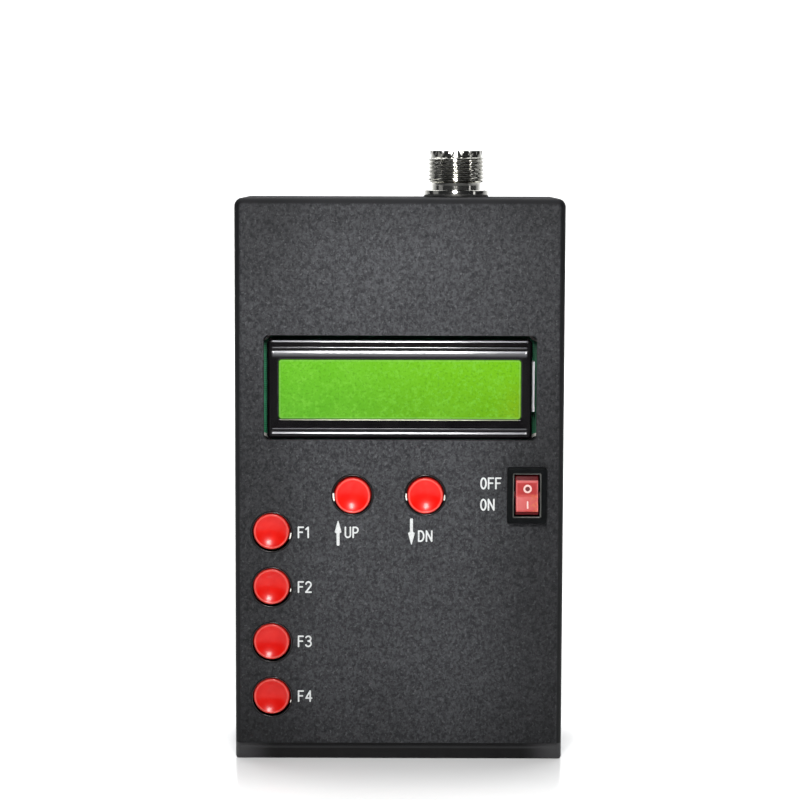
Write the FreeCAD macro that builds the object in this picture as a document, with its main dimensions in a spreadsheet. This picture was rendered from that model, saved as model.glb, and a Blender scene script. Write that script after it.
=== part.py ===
import FreeCAD, Part
import math
import os

import Sketcher
from FreeCAD import Placement, Rotation, Vector

# Hand-held antenna analyzer: a two-part plastic case with a character display, six push buttons, a power
# rocker and a coax socket on its top end. Millimetres. +Z is up, the front faces -Y and +X is to the right of
# someone facing the front. The origin is in the middle of the base, level with the case's mid-depth.

os.makedirs("parts", exist_ok=True)
doc = FreeCAD.newDocument("antenna_analyzer")

# ---------------------------------------------------------------- driving dimensions
DIMS = [
    # case
    ("case_width", 88.0), ("case_height", 151.0), ("front_face", 20.0), ("rear_face", 20.0),
    ("parting", 6.0), ("wall_front", 2.4), ("wall_side", 2.4), ("wall_rear", 2.2),
    ("corner_top", 2.3), ("corner_bottom", 1.0), ("edge_round", 2.2), ("rear_round", 0.9), ("seam_chamfer", 0.3),
    ("tongue_depth", 2.0), ("tongue_gap", 0.1), ("tongue_thick", 1.1),
    ("bevel_height", 3.05), ("bevel_depth", 1.0), ("lip_low", 3.8), ("lip_high", 4.45),
    ("lip_groove", 0.4), ("lip_step", 0.15),
    # case screws, M3
    ("post_x", 37.6), ("post_low", 6.2), ("post_high", 144.8), ("post_radius", 4.0),
    ("case_screw_radius", 1.45), ("case_screw_hole", 1.5), ("case_screw_clear", 1.7),
    ("case_head_radius", 2.75), ("case_head_bore", 3.1), ("case_head_high", 2.0),
    ("case_head_seat", 12.0), ("case_screw_long", 24.0),
    # display
    ("window_left", -36.2), ("window_right", 36.6), ("window_bottom", 86.6), ("window_top", 114.6),
    ("window_corner", 1.2),
    ("bezel_x", 0.0), ("bezel_z", 100.05), ("bezel_width", 70.8), ("bezel_height", 26.7),
    ("bezel_front", 18.0), ("bezel_sheet", 0.45), ("bezel_corner", 0.9),
    ("bead_half", 34.3), ("bead_z", 10.87), ("bead_wide", 1.8), ("bead_deep", 0.2),
    ("view_x", 0.1), ("view_z", 100.0), ("view_width", 65.1), ("view_height", 16.3), ("view_corner", 0.8),
    ("glass_width", 69.4), ("glass_height", 25.2), ("glass_thick", 1.4),
    ("tab_right", 36.25), ("tab_bottom", 93.75), ("tab_top", 107.25), ("tab_front", 14.2), ("tab_gap", 0.15),
    ("lcd_board_width", 80.0), ("lcd_board_height", 36.0), ("lcd_board_front", 9.8), ("board_thick", 1.6),
    ("lcd_hole_x", 37.5), ("lcd_hole_z", 15.5), ("lcd_hole_radius", 1.25),
    ("small_screw_radius", 0.95), ("small_screw_hole", 1.0), ("small_head_radius", 1.9),
    ("small_head_high", 1.3), ("lcd_boss_radius", 2.4),
    ("header_left", -31.9), ("header_width", 40.64), ("header_z", 116.25), ("header_high", 2.5),
    ("ribbon_thick", 0.9), ("lcd_ribbon_bend", 4.5),
    # keys
    ("key_column_x", -34.23), ("key_low_z", 17.05), ("key_pitch", 14.95),
    ("key_row_z", 71.62), ("key_up_x", -12.45), ("key_down_x", 7.0),
    ("key_hole_radius", 5.45), ("column_hole_dx", 0.1), ("column_hole_dz", -0.15), ("row_hole_dz", 0.2),
    ("cap_radius", 4.9), ("cap_rim", 19.9), ("cap_dish", 1.15), ("cap_rear", 13.6), ("cap_round", 0.5),
    ("cap_skirt_radius", 3.9), ("cap_floor", 16.2), ("hole_chamfer", 0.25),
    ("stem_side", 3.8), ("stem_front", 15.5), ("stem_radius", 3.25), ("stem_foot", 11.0), ("stem_shoulder", 12.2),
    ("socket_side", 3.9),
    ("switch_side", 12.0), ("switch_high", 3.5), ("switch_well_radius", 3.6), ("switch_well_deep", 1.3),
    ("key_board_front", 8.2), ("key_board_left", -41.0), ("key_board_right", 26.3),
    ("key_board_bottom", 10.5), ("key_board_top", 81.0),
    ("key_screw_left", -24.0), ("key_screw_right", 22.0), ("key_screw_low", 14.0), ("key_screw_high", 77.6),
    ("key_screw_radius", 1.2), ("key_screw_hole", 1.25), ("key_boss_radius", 3.0),
    ("key_head_radius", 2.3), ("key_head_high", 1.7), ("key_screw_long", 8.0),
    ("key_ribbon_half", 8.0), ("key_ribbon_bend", 5.0), ("key_socket_low", 71.0), ("key_socket_high", 77.0),
    # rocker switch, 15 x 10.5 mm face
    ("rocker_x", 34.1), ("rocker_z", 72.0), ("rocker_width", 10.5), ("rocker_height", 15.0),
    ("rocker_proud", 1.8), ("rocker_corner", 0.5), ("rocker_body_width", 8.7), ("rocker_body_height", 13.4),
    ("rocker_body_rear", 8.0), ("rocker_mouth_width", 7.7), ("rocker_mouth_height", 12.2),
    ("rocker_mouth_deep", 0.6), ("rocker_well_width", 6.9), ("rocker_well_height", 11.3),
    ("rocker_floor", 1.2), ("pivot_y", -19.2), ("pivot_z", 71.93), ("pivot_radius", 0.9),
    ("pivot_hole", 0.95), ("pivot_half", 4.0), ("paddle_half_width", 3.1), ("paddle_half", 4.6), ("paddle_skirt", 5.15), ("paddle_step", 1.2),
    ("paddle_crown", 2.4), ("paddle_rise", 0.76), ("paddle_rear", 1.6), ("paddle_rear_half", 4.7),
    ("rocker_tilt", 9.0), ("blade_width", 2.8), ("blade_thick", 0.5), ("blade_long", 6.5), ("blade_step", 4.5),
    # coax socket, 5/8-24 shell
    ("coax_x", 15.35), ("coax_y", 5.0), ("flange_radius", 8.85), ("flange_high", 1.95),
    ("neck_radius", 6.7), ("neck_high", 4.0), ("shell_radius", 7.85), ("thread_pitch", 1.058),
    ("thread_deep", 0.6), ("thread_crest", 0.2), ("thread_root", 0.14), ("shell_high", 10.9),
    ("crown_radius", 7.1), ("crown_high", 12.6), ("shell_bore", 5.95), ("barrel_radius", 6.2),
    ("barrel_long", 11.0), ("notch_half", 0.72), ("notch_deep", 1.35), ("coax_hole", 6.3),
    ("insulator_radius", 5.9), ("insulator_top", 8.6), ("insulator_rear", 10.0), ("insulator_bore", 2.75),
    ("contact_radius", 2.7), ("contact_bore", 2.0), ("contact_top", 10.4), ("contact_floor", 0.4),
    ("contact_tail_radius", 1.3), ("contact_tail", 14.0), ("contact_slit", 0.4), ("contact_slit_deep", 6.0),
    ("nut_circle", 9.2), ("nut_high", 2.6), ("nut_bore", 6.25), ("washer_high", 0.6), ("washer_radius", 8.6),
    # main board
    ("main_front", 8.0), ("main_left", -40.5), ("main_right", 40.5), ("main_bottom", 84.0), ("main_top", 134.0),
    ("main_post_x", 36.5), ("main_post_high", 130.5), ("main_post_left", 92.0), ("main_post_right", 99.0),
    ("main_post_radius", 3.0),
    ("can_left", 10.5), ("can_right", 32.0), ("can_bottom", 100.0), ("can_top", 126.0), ("can_front", 3.5),
    ("coax_lead_radius", 1.3),
    ("jack_z", 104.0), ("jack_y", 1.5), ("jack_half", 4.5), ("jack_front", -3.0), ("jack_inner", -27.5),
    ("jack_mouth", -41.5), ("jack_bore", 3.15), ("jack_bore_deep", 9.5), ("jack_pin", 1.05), ("jack_hole", 4.1),
    ("usb_z", 118.0), ("usb_half", 3.9), ("usb_high", 3.9), ("usb_inner", -32.3), ("usb_wall", 0.4),
    ("usb_deep", 7.0), ("usb_slot_half", 4.9), ("usb_slot_high", 5.4),
    # battery
    ("holder_half", 30.6), ("holder_bottom", 4.0), ("holder_top", 82.0), ("holder_rear", 17.0),
    ("holder_base", 1.5), ("holder_end", 2.5), ("holder_side", 1.2), ("holder_side_front", 2.0),
    ("holder_end_front", -2.6), ("cell_radius", 9.2), ("cell_pitch", 19.6), ("cell_y", 6.2),
    ("cell_bottom", 10.5), ("cell_top", 75.5), ("tape_thick", 0.8),
    ("lead_radius", 0.6), ("plug_bottom", 89.0), ("plug_top", 94.5), ("plug_front", 3.0),
    ("lead_y", 5.0), ("lead_bend", 6.0), ("battery_plug_x", -22.5), ("lead_half_gap", 1.45),
]
sheet = doc.addObject("Spreadsheet::Sheet", "dims")
for line, (word, number) in enumerate(DIMS, start=1):
    sheet.set("A%d" % line, word)
    sheet.set("B%d" % line, str(number))
    sheet.setAlias("B%d" % line, word)
doc.recompute()


class Size:
    """A length together with its spreadsheet formula, so that a feature can be bound to it."""

    def __init__(self, value, formula):
        self.value = float(value)
        self.formula = formula

    @staticmethod
    def of(other):
        if isinstance(other, Size):
            return other
        return Size(other, "(%r)" % float(other))

    def __add__(self, other):
        o = Size.of(other)
        return Size(self.value + o.value, "(%s + %s)" % (self.formula, o.formula))

    def __radd__(self, other):
        return Size.of(other) + self

    def __sub__(self, other):
        o = Size.of(other)
        return Size(self.value - o.value, "(%s - %s)" % (self.formula, o.formula))

    def __rsub__(self, other):
        return Size.of(other) - self

    def __mul__(self, other):
        o = Size.of(other)
        return Size(self.value * o.value, "(%s * %s)" % (self.formula, o.formula))

    def __rmul__(self, other):
        return Size.of(other) * self

    def __truediv__(self, other):
        o = Size.of(other)
        return Size(self.value / o.value, "(%s / %s)" % (self.formula, o.formula))

    def __neg__(self):
        return Size(0.0, "(0.0)") - self


class Dims:
    pass


d = Dims()
for word, number in DIMS:
    setattr(d, word, Size(number, "dims." + word))

NODES = {}


def node(obj, label):
    obj.Label = label
    NODES[label] = obj
    return obj


def bind(obj, prop, size):
    size = Size.of(size)
    obj.setExpression(prop, size.formula)


def place(obj, x, y, z, rotation=None):
    x, y, z = Size.of(x), Size.of(y), Size.of(z)
    obj.Placement = Placement(Vector(x.value, y.value, z.value), rotation or Rotation())
    bind(obj, "Placement.Base.x", x)
    bind(obj, "Placement.Base.y", y)
    bind(obj, "Placement.Base.z", z)
    return obj


# ---------------------------------------------------------------- Part primitives
def box(name, x0, x1, y0, y1, z0, z1):
    obj = doc.addObject("Part::Box", name)
    x0, x1, y0, y1, z0, z1 = [Size.of(q) for q in (x0, x1, y0, y1, z0, z1)]
    for prop, size in (("Length", x1 - x0), ("Width", y1 - y0), ("Height", z1 - z0)):
        bind(obj, prop, size)
    return place(obj, x0, y0, z0)


TO_Z = Rotation()
TO_REAR = Rotation(Vector(1, 0, 0), -90)  # local z becomes +Y
TO_FRONT = Rotation(Vector(1, 0, 0), 90)  # local z becomes -Y
TO_RIGHT = Rotation(Vector(0, 1, 0), 90)  # local z becomes +X


def cylinder(name, x, y, z, radius, length, rotation=TO_Z):
    obj = doc.addObject("Part::Cylinder", name)
    bind(obj, "Radius", radius)
    bind(obj, "Height", length)
    return place(obj, x, y, z, rotation)


def cut(name, base, tool):
    obj = doc.addObject("Part::Cut", name)
    obj.Base, obj.Tool = base, tool
    return obj


def fuse(name, shapes, refine=True):
    obj = doc.addObject("Part::MultiFuse", name)
    obj.Shapes = shapes
    obj.Refine = refine
    return obj


def group(name, links):
    obj = doc.addObject("Part::Compound", name)
    obj.Links = links
    return obj


def screw(name, x, z, seat, head_radius, head_high, shank_radius, length, cross=False):
    """A pan-head screw along Y: its head stands on the +Y side of the seat and its shank points to -Y."""
    head = cylinder(name + "_head", x, seat, z, head_radius, head_high, TO_REAR)
    shank = cylinder(name + "_shank", x, seat, z, shank_radius, length, TO_FRONT)
    body = fuse(name + "_blank", [head, shank])
    x, z, seat, head_radius, head_high = [Size.of(q) for q in (x, z, seat, head_radius, head_high)]
    top = seat + head_high
    slot = box(name + "_slot", x - head_radius * 0.62, x + head_radius * 0.62, top - head_high * 0.45, top + 0.2, z - 0.3, z + 0.3)
    if cross:
        other = box(name + "_slot_b", x - 0.3, x + 0.3, top - head_high * 0.45, top + 0.2, z - head_radius * 0.62, z + head_radius * 0.62)
        slot = fuse(name + "_recess", [slot, other])
    return cut(name + "_screw", body, slot)


# ---------------------------------------------------------------- PartDesign helpers
def new_body(label):
    return node(doc.addObject("PartDesign::Body", label), label)


def origin_plane(body, role):
    for feature in body.Origin.OriginFeatures:
        if feature.Role == role:
            return feature
    raise ValueError(role)


def sketch(body, name, role="XZ_Plane", offset=None):
    """A sketch on one of the body's planes. On XZ_Plane its x is X, its y is Z and its normal is -Y."""
    sk = body.newObject("Sketcher::SketchObject", body.Label + "_" + name)
    sk.AttachmentSupport = [(origin_plane(body, role), "")]
    sk.MapMode = "FlatFace"
    if offset is not None:
        offset = Size.of(offset)
        sk.AttachmentOffset = Placement(Vector(0, 0, offset.value), Rotation())
        sk.setExpression("AttachmentOffset.Base.z", offset.formula)
    return sk


def fix(sk, kind, geo, pos, size, tag):
    """Holds a point's x or y at a size, measured from the sketch's origin."""
    size = Size.of(size)
    if abs(size.value) < 1e-9:
        sk.addConstraint(Sketcher.Constraint("PointOnObject", geo, pos, -1 if kind == "DistanceY" else -2))
        return
    i = sk.addConstraint(Sketcher.Constraint(kind, -1, 1, geo, pos, size.value))
    sk.renameConstraint(i, tag)
    sk.setExpression("Constraints." + tag, size.formula)


def outline(sk, points, tag="p"):
    """A closed polygon with every corner held by formulas."""
    pts = [(Size.of(x), Size.of(y)) for x, y in points]
    first = sk.GeometryCount
    n = len(pts)
    for i in range(n):
        a, b = pts[i], pts[(i + 1) % n]
        sk.addGeometry(Part.LineSegment(Vector(a[0].value, a[1].value, 0), Vector(b[0].value, b[1].value, 0)), False)
    for i in range(n):
        sk.addConstraint(Sketcher.Constraint("Coincident", first + i, 2, first + (i + 1) % n, 1))
    for i, (x, y) in enumerate(pts):
        fix(sk, "DistanceX", first + i, 1, x, "%s%dx" % (tag, i))
        fix(sk, "DistanceY", first + i, 1, y, "%s%dy" % (tag, i))


def circle(sk, x, y, radius, tag="c"):
    x, y, radius = Size.of(x), Size.of(y), Size.of(radius)
    g = sk.addGeometry(Part.Circle(Vector(x.value, y.value, 0), Vector(0, 0, 1), radius.value), False)
    fix(sk, "DistanceX", g, 3, x, tag + "x")
    fix(sk, "DistanceY", g, 3, y, tag + "y")
    i = sk.addConstraint(Sketcher.Constraint("Radius", g, radius.value))
    sk.renameConstraint(i, tag + "r")
    sk.setExpression("Constraints.%sr" % tag, radius.formula)


def round_rect(sk, x0, x1, y0, y1, low, high=None, tag="r"):
    """A rectangle with rounded corners: low is the radius of the two at y0, high of the two at y1."""
    x0, x1, y0, y1, low = [Size.of(q) for q in (x0, x1, y0, y1, low)]
    high = low if high is None else Size.of(high)
    a, b, c, e, l, t = x0.value, x1.value, y0.value, y1.value, low.value, high.value
    z = Vector(0, 0, 1)
    q = math.pi / 2
    g = sk.GeometryCount
    sk.addGeometry([
        Part.LineSegment(Vector(a + l, c, 0), Vector(b - l, c, 0)),
        Part.ArcOfCircle(Part.Circle(Vector(b - l, c + l, 0), z, l), -q, 0),
        Part.LineSegment(Vector(b, c + l, 0), Vector(b, e - t, 0)),
        Part.ArcOfCircle(Part.Circle(Vector(b - t, e - t, 0), z, t), 0, q),
        Part.LineSegment(Vector(b - t, e, 0), Vector(a + t, e, 0)),
        Part.ArcOfCircle(Part.Circle(Vector(a + t, e - t, 0), z, t), q, 2 * q),
        Part.LineSegment(Vector(a, e - t, 0), Vector(a, c + l, 0)),
        Part.ArcOfCircle(Part.Circle(Vector(a + l, c + l, 0), z, l), 2 * q, 3 * q),
    ], False)
    for i in range(8):
        sk.addConstraint(Sketcher.Constraint("Tangent", g + i, 2, g + (i + 1) % 8, 1))
    sk.addConstraint(Sketcher.Constraint("Horizontal", g))
    sk.addConstraint(Sketcher.Constraint("Horizontal", g + 4))
    sk.addConstraint(Sketcher.Constraint("Vertical", g + 2))
    sk.addConstraint(Sketcher.Constraint("Vertical", g + 6))
    for i, size in ((1, low), (3, high), (5, high), (7, low)):
        k = sk.addConstraint(Sketcher.Constraint("Radius", g + i, size.value))
        sk.renameConstraint(k, "%sr%d" % (tag, i))
        sk.setExpression("Constraints.%sr%d" % (tag, i), size.formula)
    fix(sk, "DistanceY", g, 1, y0, tag + "y0")
    fix(sk, "DistanceX", g + 2, 1, x1, tag + "x1")
    fix(sk, "DistanceY", g + 4, 1, y1, tag + "y1")
    fix(sk, "DistanceX", g + 6, 1, x0, tag + "x0")


def hooded(sk, x0, x1, y0, y1, high, tag="h"):
    """A rectangle with square corners at y0 and rounded ones at y1."""
    x0, x1, y0, y1, high = [Size.of(q) for q in (x0, x1, y0, y1, high)]
    a, b, c, e, t = x0.value, x1.value, y0.value, y1.value, high.value
    z = Vector(0, 0, 1)
    q = math.pi / 2
    g = sk.GeometryCount
    sk.addGeometry([
        Part.LineSegment(Vector(a, c, 0), Vector(b, c, 0)),
        Part.LineSegment(Vector(b, c, 0), Vector(b, e - t, 0)),
        Part.ArcOfCircle(Part.Circle(Vector(b - t, e - t, 0), z, t), 0, q),
        Part.LineSegment(Vector(b - t, e, 0), Vector(a + t, e, 0)),
        Part.ArcOfCircle(Part.Circle(Vector(a + t, e - t, 0), z, t), q, 2 * q),
        Part.LineSegment(Vector(a, e - t, 0), Vector(a, c, 0)),
    ], False)
    sk.addConstraint(Sketcher.Constraint("Coincident", g, 2, g + 1, 1))
    for i in range(1, 5):
        sk.addConstraint(Sketcher.Constraint("Tangent", g + i, 2, g + i + 1, 1))
    sk.addConstraint(Sketcher.Constraint("Coincident", g + 5, 2, g, 1))
    sk.addConstraint(Sketcher.Constraint("Horizontal", g))
    sk.addConstraint(Sketcher.Constraint("Horizontal", g + 3))
    sk.addConstraint(Sketcher.Constraint("Vertical", g + 1))
    sk.addConstraint(Sketcher.Constraint("Vertical", g + 5))
    for i in (2, 4):
        k = sk.addConstraint(Sketcher.Constraint("Radius", g + i, high.value))
        sk.renameConstraint(k, "%sr%d" % (tag, i))
        sk.setExpression("Constraints.%sr%d" % (tag, i), high.formula)
    fix(sk, "DistanceY", g, 1, y0, tag + "y0")
    fix(sk, "DistanceX", g + 1, 1, x1, tag + "x1")
    fix(sk, "DistanceY", g + 3, 1, y1, tag + "y1")
    fix(sk, "DistanceX", g + 5, 1, x0, tag + "x0")


def volume(body):
    doc.recompute()
    if body.Shape.isNull():
        return 0.0
    return body.Shape.Volume


def pad(body, sk, length, back=False, both=False):
    """Adds material along the sketch's normal, or the other way if back, or half each way if both."""
    before = volume(body) if body.Tip else 0.0
    f = body.newObject("PartDesign::Pad", sk.Label + "_pad")
    f.Profile = sk
    bind(f, "Length", length)
    f.Reversed = back
    f.Midplane = both
    sk.Visibility = False
    if volume(body) <= before + 1e-6:
        raise RuntimeError(f.Label + " added nothing")
    return f


def pocket(body, sk, length, ahead=False, both=False):
    """Cuts against the sketch's normal, or along it if ahead, or half each way if both."""
    before = volume(body)
    f = body.newObject("PartDesign::Pocket", sk.Label + "_pocket")
    f.Profile = sk
    bind(f, "Length", length)
    f.Reversed = ahead
    f.Midplane = both
    sk.Visibility = False
    if volume(body) >= before - 1e-6:
        raise RuntimeError(f.Label + " cut nothing")
    return f


def revolve(body, sk):
    f = body.newObject("PartDesign::Revolution", sk.Label + "_turned")
    f.Profile = sk
    f.ReferenceAxis = (sk, ["V_Axis"])
    f.Angle = 360.0
    sk.Visibility = False
    doc.recompute()
    return f


def edge_names(shape, test):
    names = []
    for i, e in enumerate(shape.Edges, start=1):
        n = 5
        points = [e.valueAt(e.FirstParameter + (e.LastParameter - e.FirstParameter) * k / (n - 1)) for k in range(n)]
        if all(test(p) for p in points):
            names.append("Edge%d" % i)
    return names


def fillet(body, radius, test, kind="PartDesign::Fillet"):
    doc.recompute()
    base = body.Tip
    names = edge_names(base.Shape, test)
    if not names:
        raise RuntimeError(body.Label + " has no edge for its fillet")
    f = body.newObject(kind, body.Label + "_" + kind.split("::")[1].lower())
    f.Base = (base, names)
    bind(f, "Radius" if kind.endswith("Fillet") else "Size", radius)
    doc.recompute()
    return f


def polar(body, feature, count, angle):
    f = body.newObject("PartDesign::PolarPattern", feature.Label + "_pattern")
    f.Originals = [feature]
    f.Axis = (feature.Profile[0], ["V_Axis"])
    f.Angle = angle
    f.Occurrences = count
    body.Tip = f
    doc.recompute()
    return f


# ---------------------------------------------------------------- case: front cover
half = d.case_width / 2
inner = half - d.wall_side
post_spots = [(-d.post_x, d.post_low), (d.post_x, d.post_low), (-d.post_x, d.post_high), (d.post_x, d.post_high)]
lcd_spots = [(d.view_x + sx * d.lcd_hole_x, d.view_z + sz * d.lcd_hole_z) for sx in (-1, 1) for sz in (-1, 1)]
key_screw_spots = [(x, z) for x in (d.key_screw_left, d.key_screw_right) for z in (d.key_screw_low, d.key_screw_high)]
keys = {
    "up": (d.key_up_x, d.key_row_z),
    "down": (d.key_down_x, d.key_row_z),
    "1": (d.key_column_x, d.key_low_z + 3 * d.key_pitch),
    "2": (d.key_column_x, d.key_low_z + 2 * d.key_pitch),
    "3": (d.key_column_x, d.key_low_z + 1 * d.key_pitch),
    "4": (d.key_column_x, d.key_low_z),
}


def case_outline(body, name, offset, shrink, corner_low, corner_high):
    sk = sketch(body, name, offset=offset)
    round_rect(sk, -(half - shrink), half - shrink, shrink, d.case_height - shrink, corner_low, corner_high)
    return sk


def nick(sk, side, tag):
    """What lies outside a bottom corner's arc."""
    r = d.corner_bottom
    pts = [(half + 1, Size.of(-1.0)), (half - r, Size.of(-1.0)), (half - r, Size.of(0.0)), (half, r), (half + 1, r)]
    pts = [(x if side > 0 else -x, z) for x, z in pts]
    v = [Vector(x.value, z.value, 0) for x, z in pts]
    centre = Vector(pts[1][0].value, r.value, 0)
    q = math.pi / 2
    g = sk.GeometryCount
    sk.addGeometry([
        Part.LineSegment(v[0], v[1]), Part.LineSegment(v[1], v[2]),
        Part.ArcOfCircle(Part.Circle(centre, Vector(0, 0, 1), r.value), *((-q, 0) if side > 0 else (2 * q, 3 * q))),
        Part.LineSegment(v[3], v[4]), Part.LineSegment(v[4], v[0]),
    ], False)
    a, b = (1, 2) if side > 0 else (2, 1)
    for one, p, two, s in ((g, 2, g + 1, 1), (g + 1, 2, g + 2, a), (g + 2, b, g + 3, 1), (g + 3, 2, g + 4, 1), (g + 4, 2, g, 1)):
        sk.addConstraint(Sketcher.Constraint("Coincident", one, p, two, s))
    for i, line, p in ((0, g, 1), (1, g + 1, 1), (2, g + 1, 2), (3, g + 3, 1), (4, g + 4, 1)):
        fix(sk, "DistanceX", line, p, pts[i][0], "%sx%d" % (tag, i))
        fix(sk, "DistanceY", line, p, pts[i][1], "%sy%d" % (tag, i))
    k = sk.addConstraint(Sketcher.Constraint("Radius", g + 2, r.value))
    sk.renameConstraint(k, tag + "r")
    sk.setExpression("Constraints.%sr" % tag, r.formula)


cover = new_body("front_cover")
sk = sketch(cover, "outline", offset=d.parting)
hooded(sk, -half, half, Size.of(0.0), d.case_height, d.corner_top)
pad(cover, sk, d.front_face - d.parting)
fillet(cover, d.edge_round, lambda p: abs(p.y + d.front_face.value) < 1e-6 and p.z > 1e-6)
# smooth bevel along the bottom front edge, set off from the textured face by a fine groove
sk = sketch(cover, "bevel", "YZ_Plane")
outline(sk, [
    (-d.front_face - 1, d.lip_high), (-d.front_face + d.lip_groove, d.lip_high),
    (-d.front_face + d.lip_groove, d.lip_low), (-d.front_face + d.lip_step, d.lip_low),
    (-d.front_face + d.lip_step, d.bevel_height), (-d.front_face + d.bevel_depth, Size.of(-0.05)),
    (-d.front_face - 1, Size.of(-0.05)),
])
pocket(cover, sk, d.case_width + 4, both=True)
# the bottom corners are rounded by cutting them to an arc
sk = sketch(cover, "bottom_corners", offset=d.parting - 0.5)
for side in (-1, 1):
    nick(sk, side, "n%d" % (side + 1))
pocket(cover, sk, d.front_face - d.parting + 1.5, ahead=True)
# hollow, and the step that takes the rear shell's tongue
sk = case_outline(cover, "hollow", d.parting, d.wall_side, Size.of(1.0), Size.of(1.0))
pocket(cover, sk, d.front_face - d.parting - d.wall_front, ahead=True)
step = d.wall_side - d.tongue_thick - d.tongue_gap
sk = case_outline(cover, "step", d.parting, step, Size.of(1.6), Size.of(1.6))
pocket(cover, sk, d.tongue_depth + 0.2, ahead=True)
# bosses behind the face: case screws, display board, key board
face_inside = d.front_face - d.wall_front
for name, spots, radius, top in (
    ("case_bosses", post_spots, d.post_radius - 0.4, d.parting),
    ("lcd_bosses", lcd_spots, d.lcd_boss_radius, d.lcd_board_front),
    ("key_bosses", key_screw_spots, d.key_boss_radius, d.key_board_front),
):
    sk = sketch(cover, name, offset=face_inside + 0.5)
    for i, (x, z) in enumerate(spots):
        circle(sk, x, z, radius, "c%d" % i)
    pad(cover, sk, face_inside + 0.5 - top, back=True)
for name, spots, radius, top, deep in (
    ("case_pilot", post_spots, d.case_screw_hole, d.parting, Size.of(8.5)),
    ("lcd_pilot", lcd_spots, d.small_screw_hole, d.lcd_board_front, Size.of(5.0)),
    ("key_pilot", key_screw_spots, d.key_screw_hole, d.key_board_front, Size.of(7.0)),
):
    sk = sketch(cover, name, offset=top)
    for i, (x, z) in enumerate(spots):
        circle(sk, x, z, radius, "c%d" % i)
    pocket(cover, sk, deep, ahead=True)
# openings in the face
sk = sketch(cover, "openings", offset=d.front_face + 1)
round_rect(sk, d.window_left, d.window_right, d.window_bottom, d.window_top, d.window_corner, tag="w")
round_rect(sk, d.rocker_x - d.rocker_body_width / 2 - 0.1, d.rocker_x + d.rocker_body_width / 2 + 0.1,
           d.rocker_z - d.rocker_body_height / 2 - 0.1, d.rocker_z + d.rocker_body_height / 2 + 0.1, Size.of(0.4), tag="k")
for i, (word, (x, z)) in enumerate(keys.items()):
    if word in ("up", "down"):
        circle(sk, x, z + d.row_hole_dz, d.key_hole_radius, "h%d" % i)
    else:
        circle(sk, x + d.column_hole_dx, z + d.column_hole_dz, d.key_hole_radius, "h%d" % i)
pocket(cover, sk, d.wall_front + 1.5)
# the key holes are broken with a fine chamfer
hole_spots = [(x + (0 if w in ("up", "down") else d.column_hole_dx), z + (d.row_hole_dz if w in ("up", "down") else d.column_hole_dz))
              for w, (x, z) in keys.items()]


def on_key_hole(p):
    if abs(p.y + d.front_face.value) > 1e-6:
        return False
    return any(abs(math.hypot(p.x - x.value, p.z - z.value) - d.key_hole_radius.value) < 1e-4 for x, z in hole_spots)


fillet(cover, d.hole_chamfer, on_key_hole, "PartDesign::Chamfer")


def on_seam(p):
    """The outer edge of a case half where the two halves meet."""
    if abs(p.y + d.parting.value) > 1e-6:
        return False
    w, h = half.value, d.case_height.value
    side = min(abs(abs(p.x) - w), abs(p.z), abs(p.z - h))
    if side < 1e-6:
        return True
    for r, cz in ((d.corner_top.value, h - d.corner_top.value), (d.corner_bottom.value, d.corner_bottom.value)):
        if abs(math.hypot(abs(p.x) - (w - r), p.z - cz) - r) < 1e-4 and abs(p.x) > w - r - 1e-6:
            return True
    return False


fillet(cover, d.seam_chamfer, on_seam, "PartDesign::Chamfer")

# ---------------------------------------------------------------- case: rear shell
shell = new_body("rear_shell")
sk = case_outline(shell, "outline", d.parting, Size.of(0.0), d.corner_bottom, d.corner_top)
pad(shell, sk, d.rear_face + d.parting, back=True)
fillet(shell, d.rear_round, lambda p: abs(p.y - d.rear_face.value) < 1e-6)
fillet(shell, d.seam_chamfer, on_seam, "PartDesign::Chamfer")
tongue_out = d.wall_side - d.tongue_thick
sk = case_outline(shell, "tongue", d.parting - 0.5, tongue_out, Size.of(1.5), Size.of(1.5))
pad(shell, sk, d.tongue_depth + 0.5)
sk = case_outline(shell, "hollow", d.parting + d.tongue_depth + 1, d.wall_side, Size.of(1.0), Size.of(1.0))
pocket(shell, sk, d.rear_face + d.parting + d.tongue_depth + 1 - d.wall_rear)
wall_inside = d.rear_face - d.wall_rear
main_spots = [(-d.main_post_x, d.main_post_left), (d.main_post_x, d.main_post_right),
              (-d.main_post_x, d.main_post_high), (d.main_post_x, d.main_post_high)]
sk = sketch(shell, "case_posts", offset=d.parting)
for i, (x, z) in enumerate(post_spots):
    circle(sk, x, z, d.post_radius, "c%d" % i)
pad(shell, sk, wall_inside + d.parting + 0.5, back=True)
sk = sketch(shell, "board_posts", offset=-(d.main_front + d.board_thick))
for i, (x, z) in enumerate(main_spots):
    circle(sk, x, z, d.main_post_radius, "c%d" % i)
pad(shell, sk, wall_inside - d.main_front - d.board_thick + 0.5, back=True)
sk = sketch(shell, "screw_holes", offset=d.parting + 1)
for i, (x, z) in enumerate(post_spots):
    circle(sk, x, z, d.case_screw_clear, "c%d" % i)
pocket(shell, sk, d.rear_face + d.parting + 4)
sk = sketch(shell, "head_bores", offset=-d.case_head_seat)
for i, (x, z) in enumerate(post_spots):
    circle(sk, x, z, d.case_head_bore, "c%d" % i)
pocket(shell, sk, d.rear_face - d.case_head_seat + 2)
sk = sketch(shell, "board_pilots", offset=-(d.main_front + d.board_thick))
for i, (x, z) in enumerate(main_spots):
    circle(sk, x, z, d.key_screw_hole, "c%d" % i)
pocket(shell, sk, Size.of(6.5))
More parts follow.
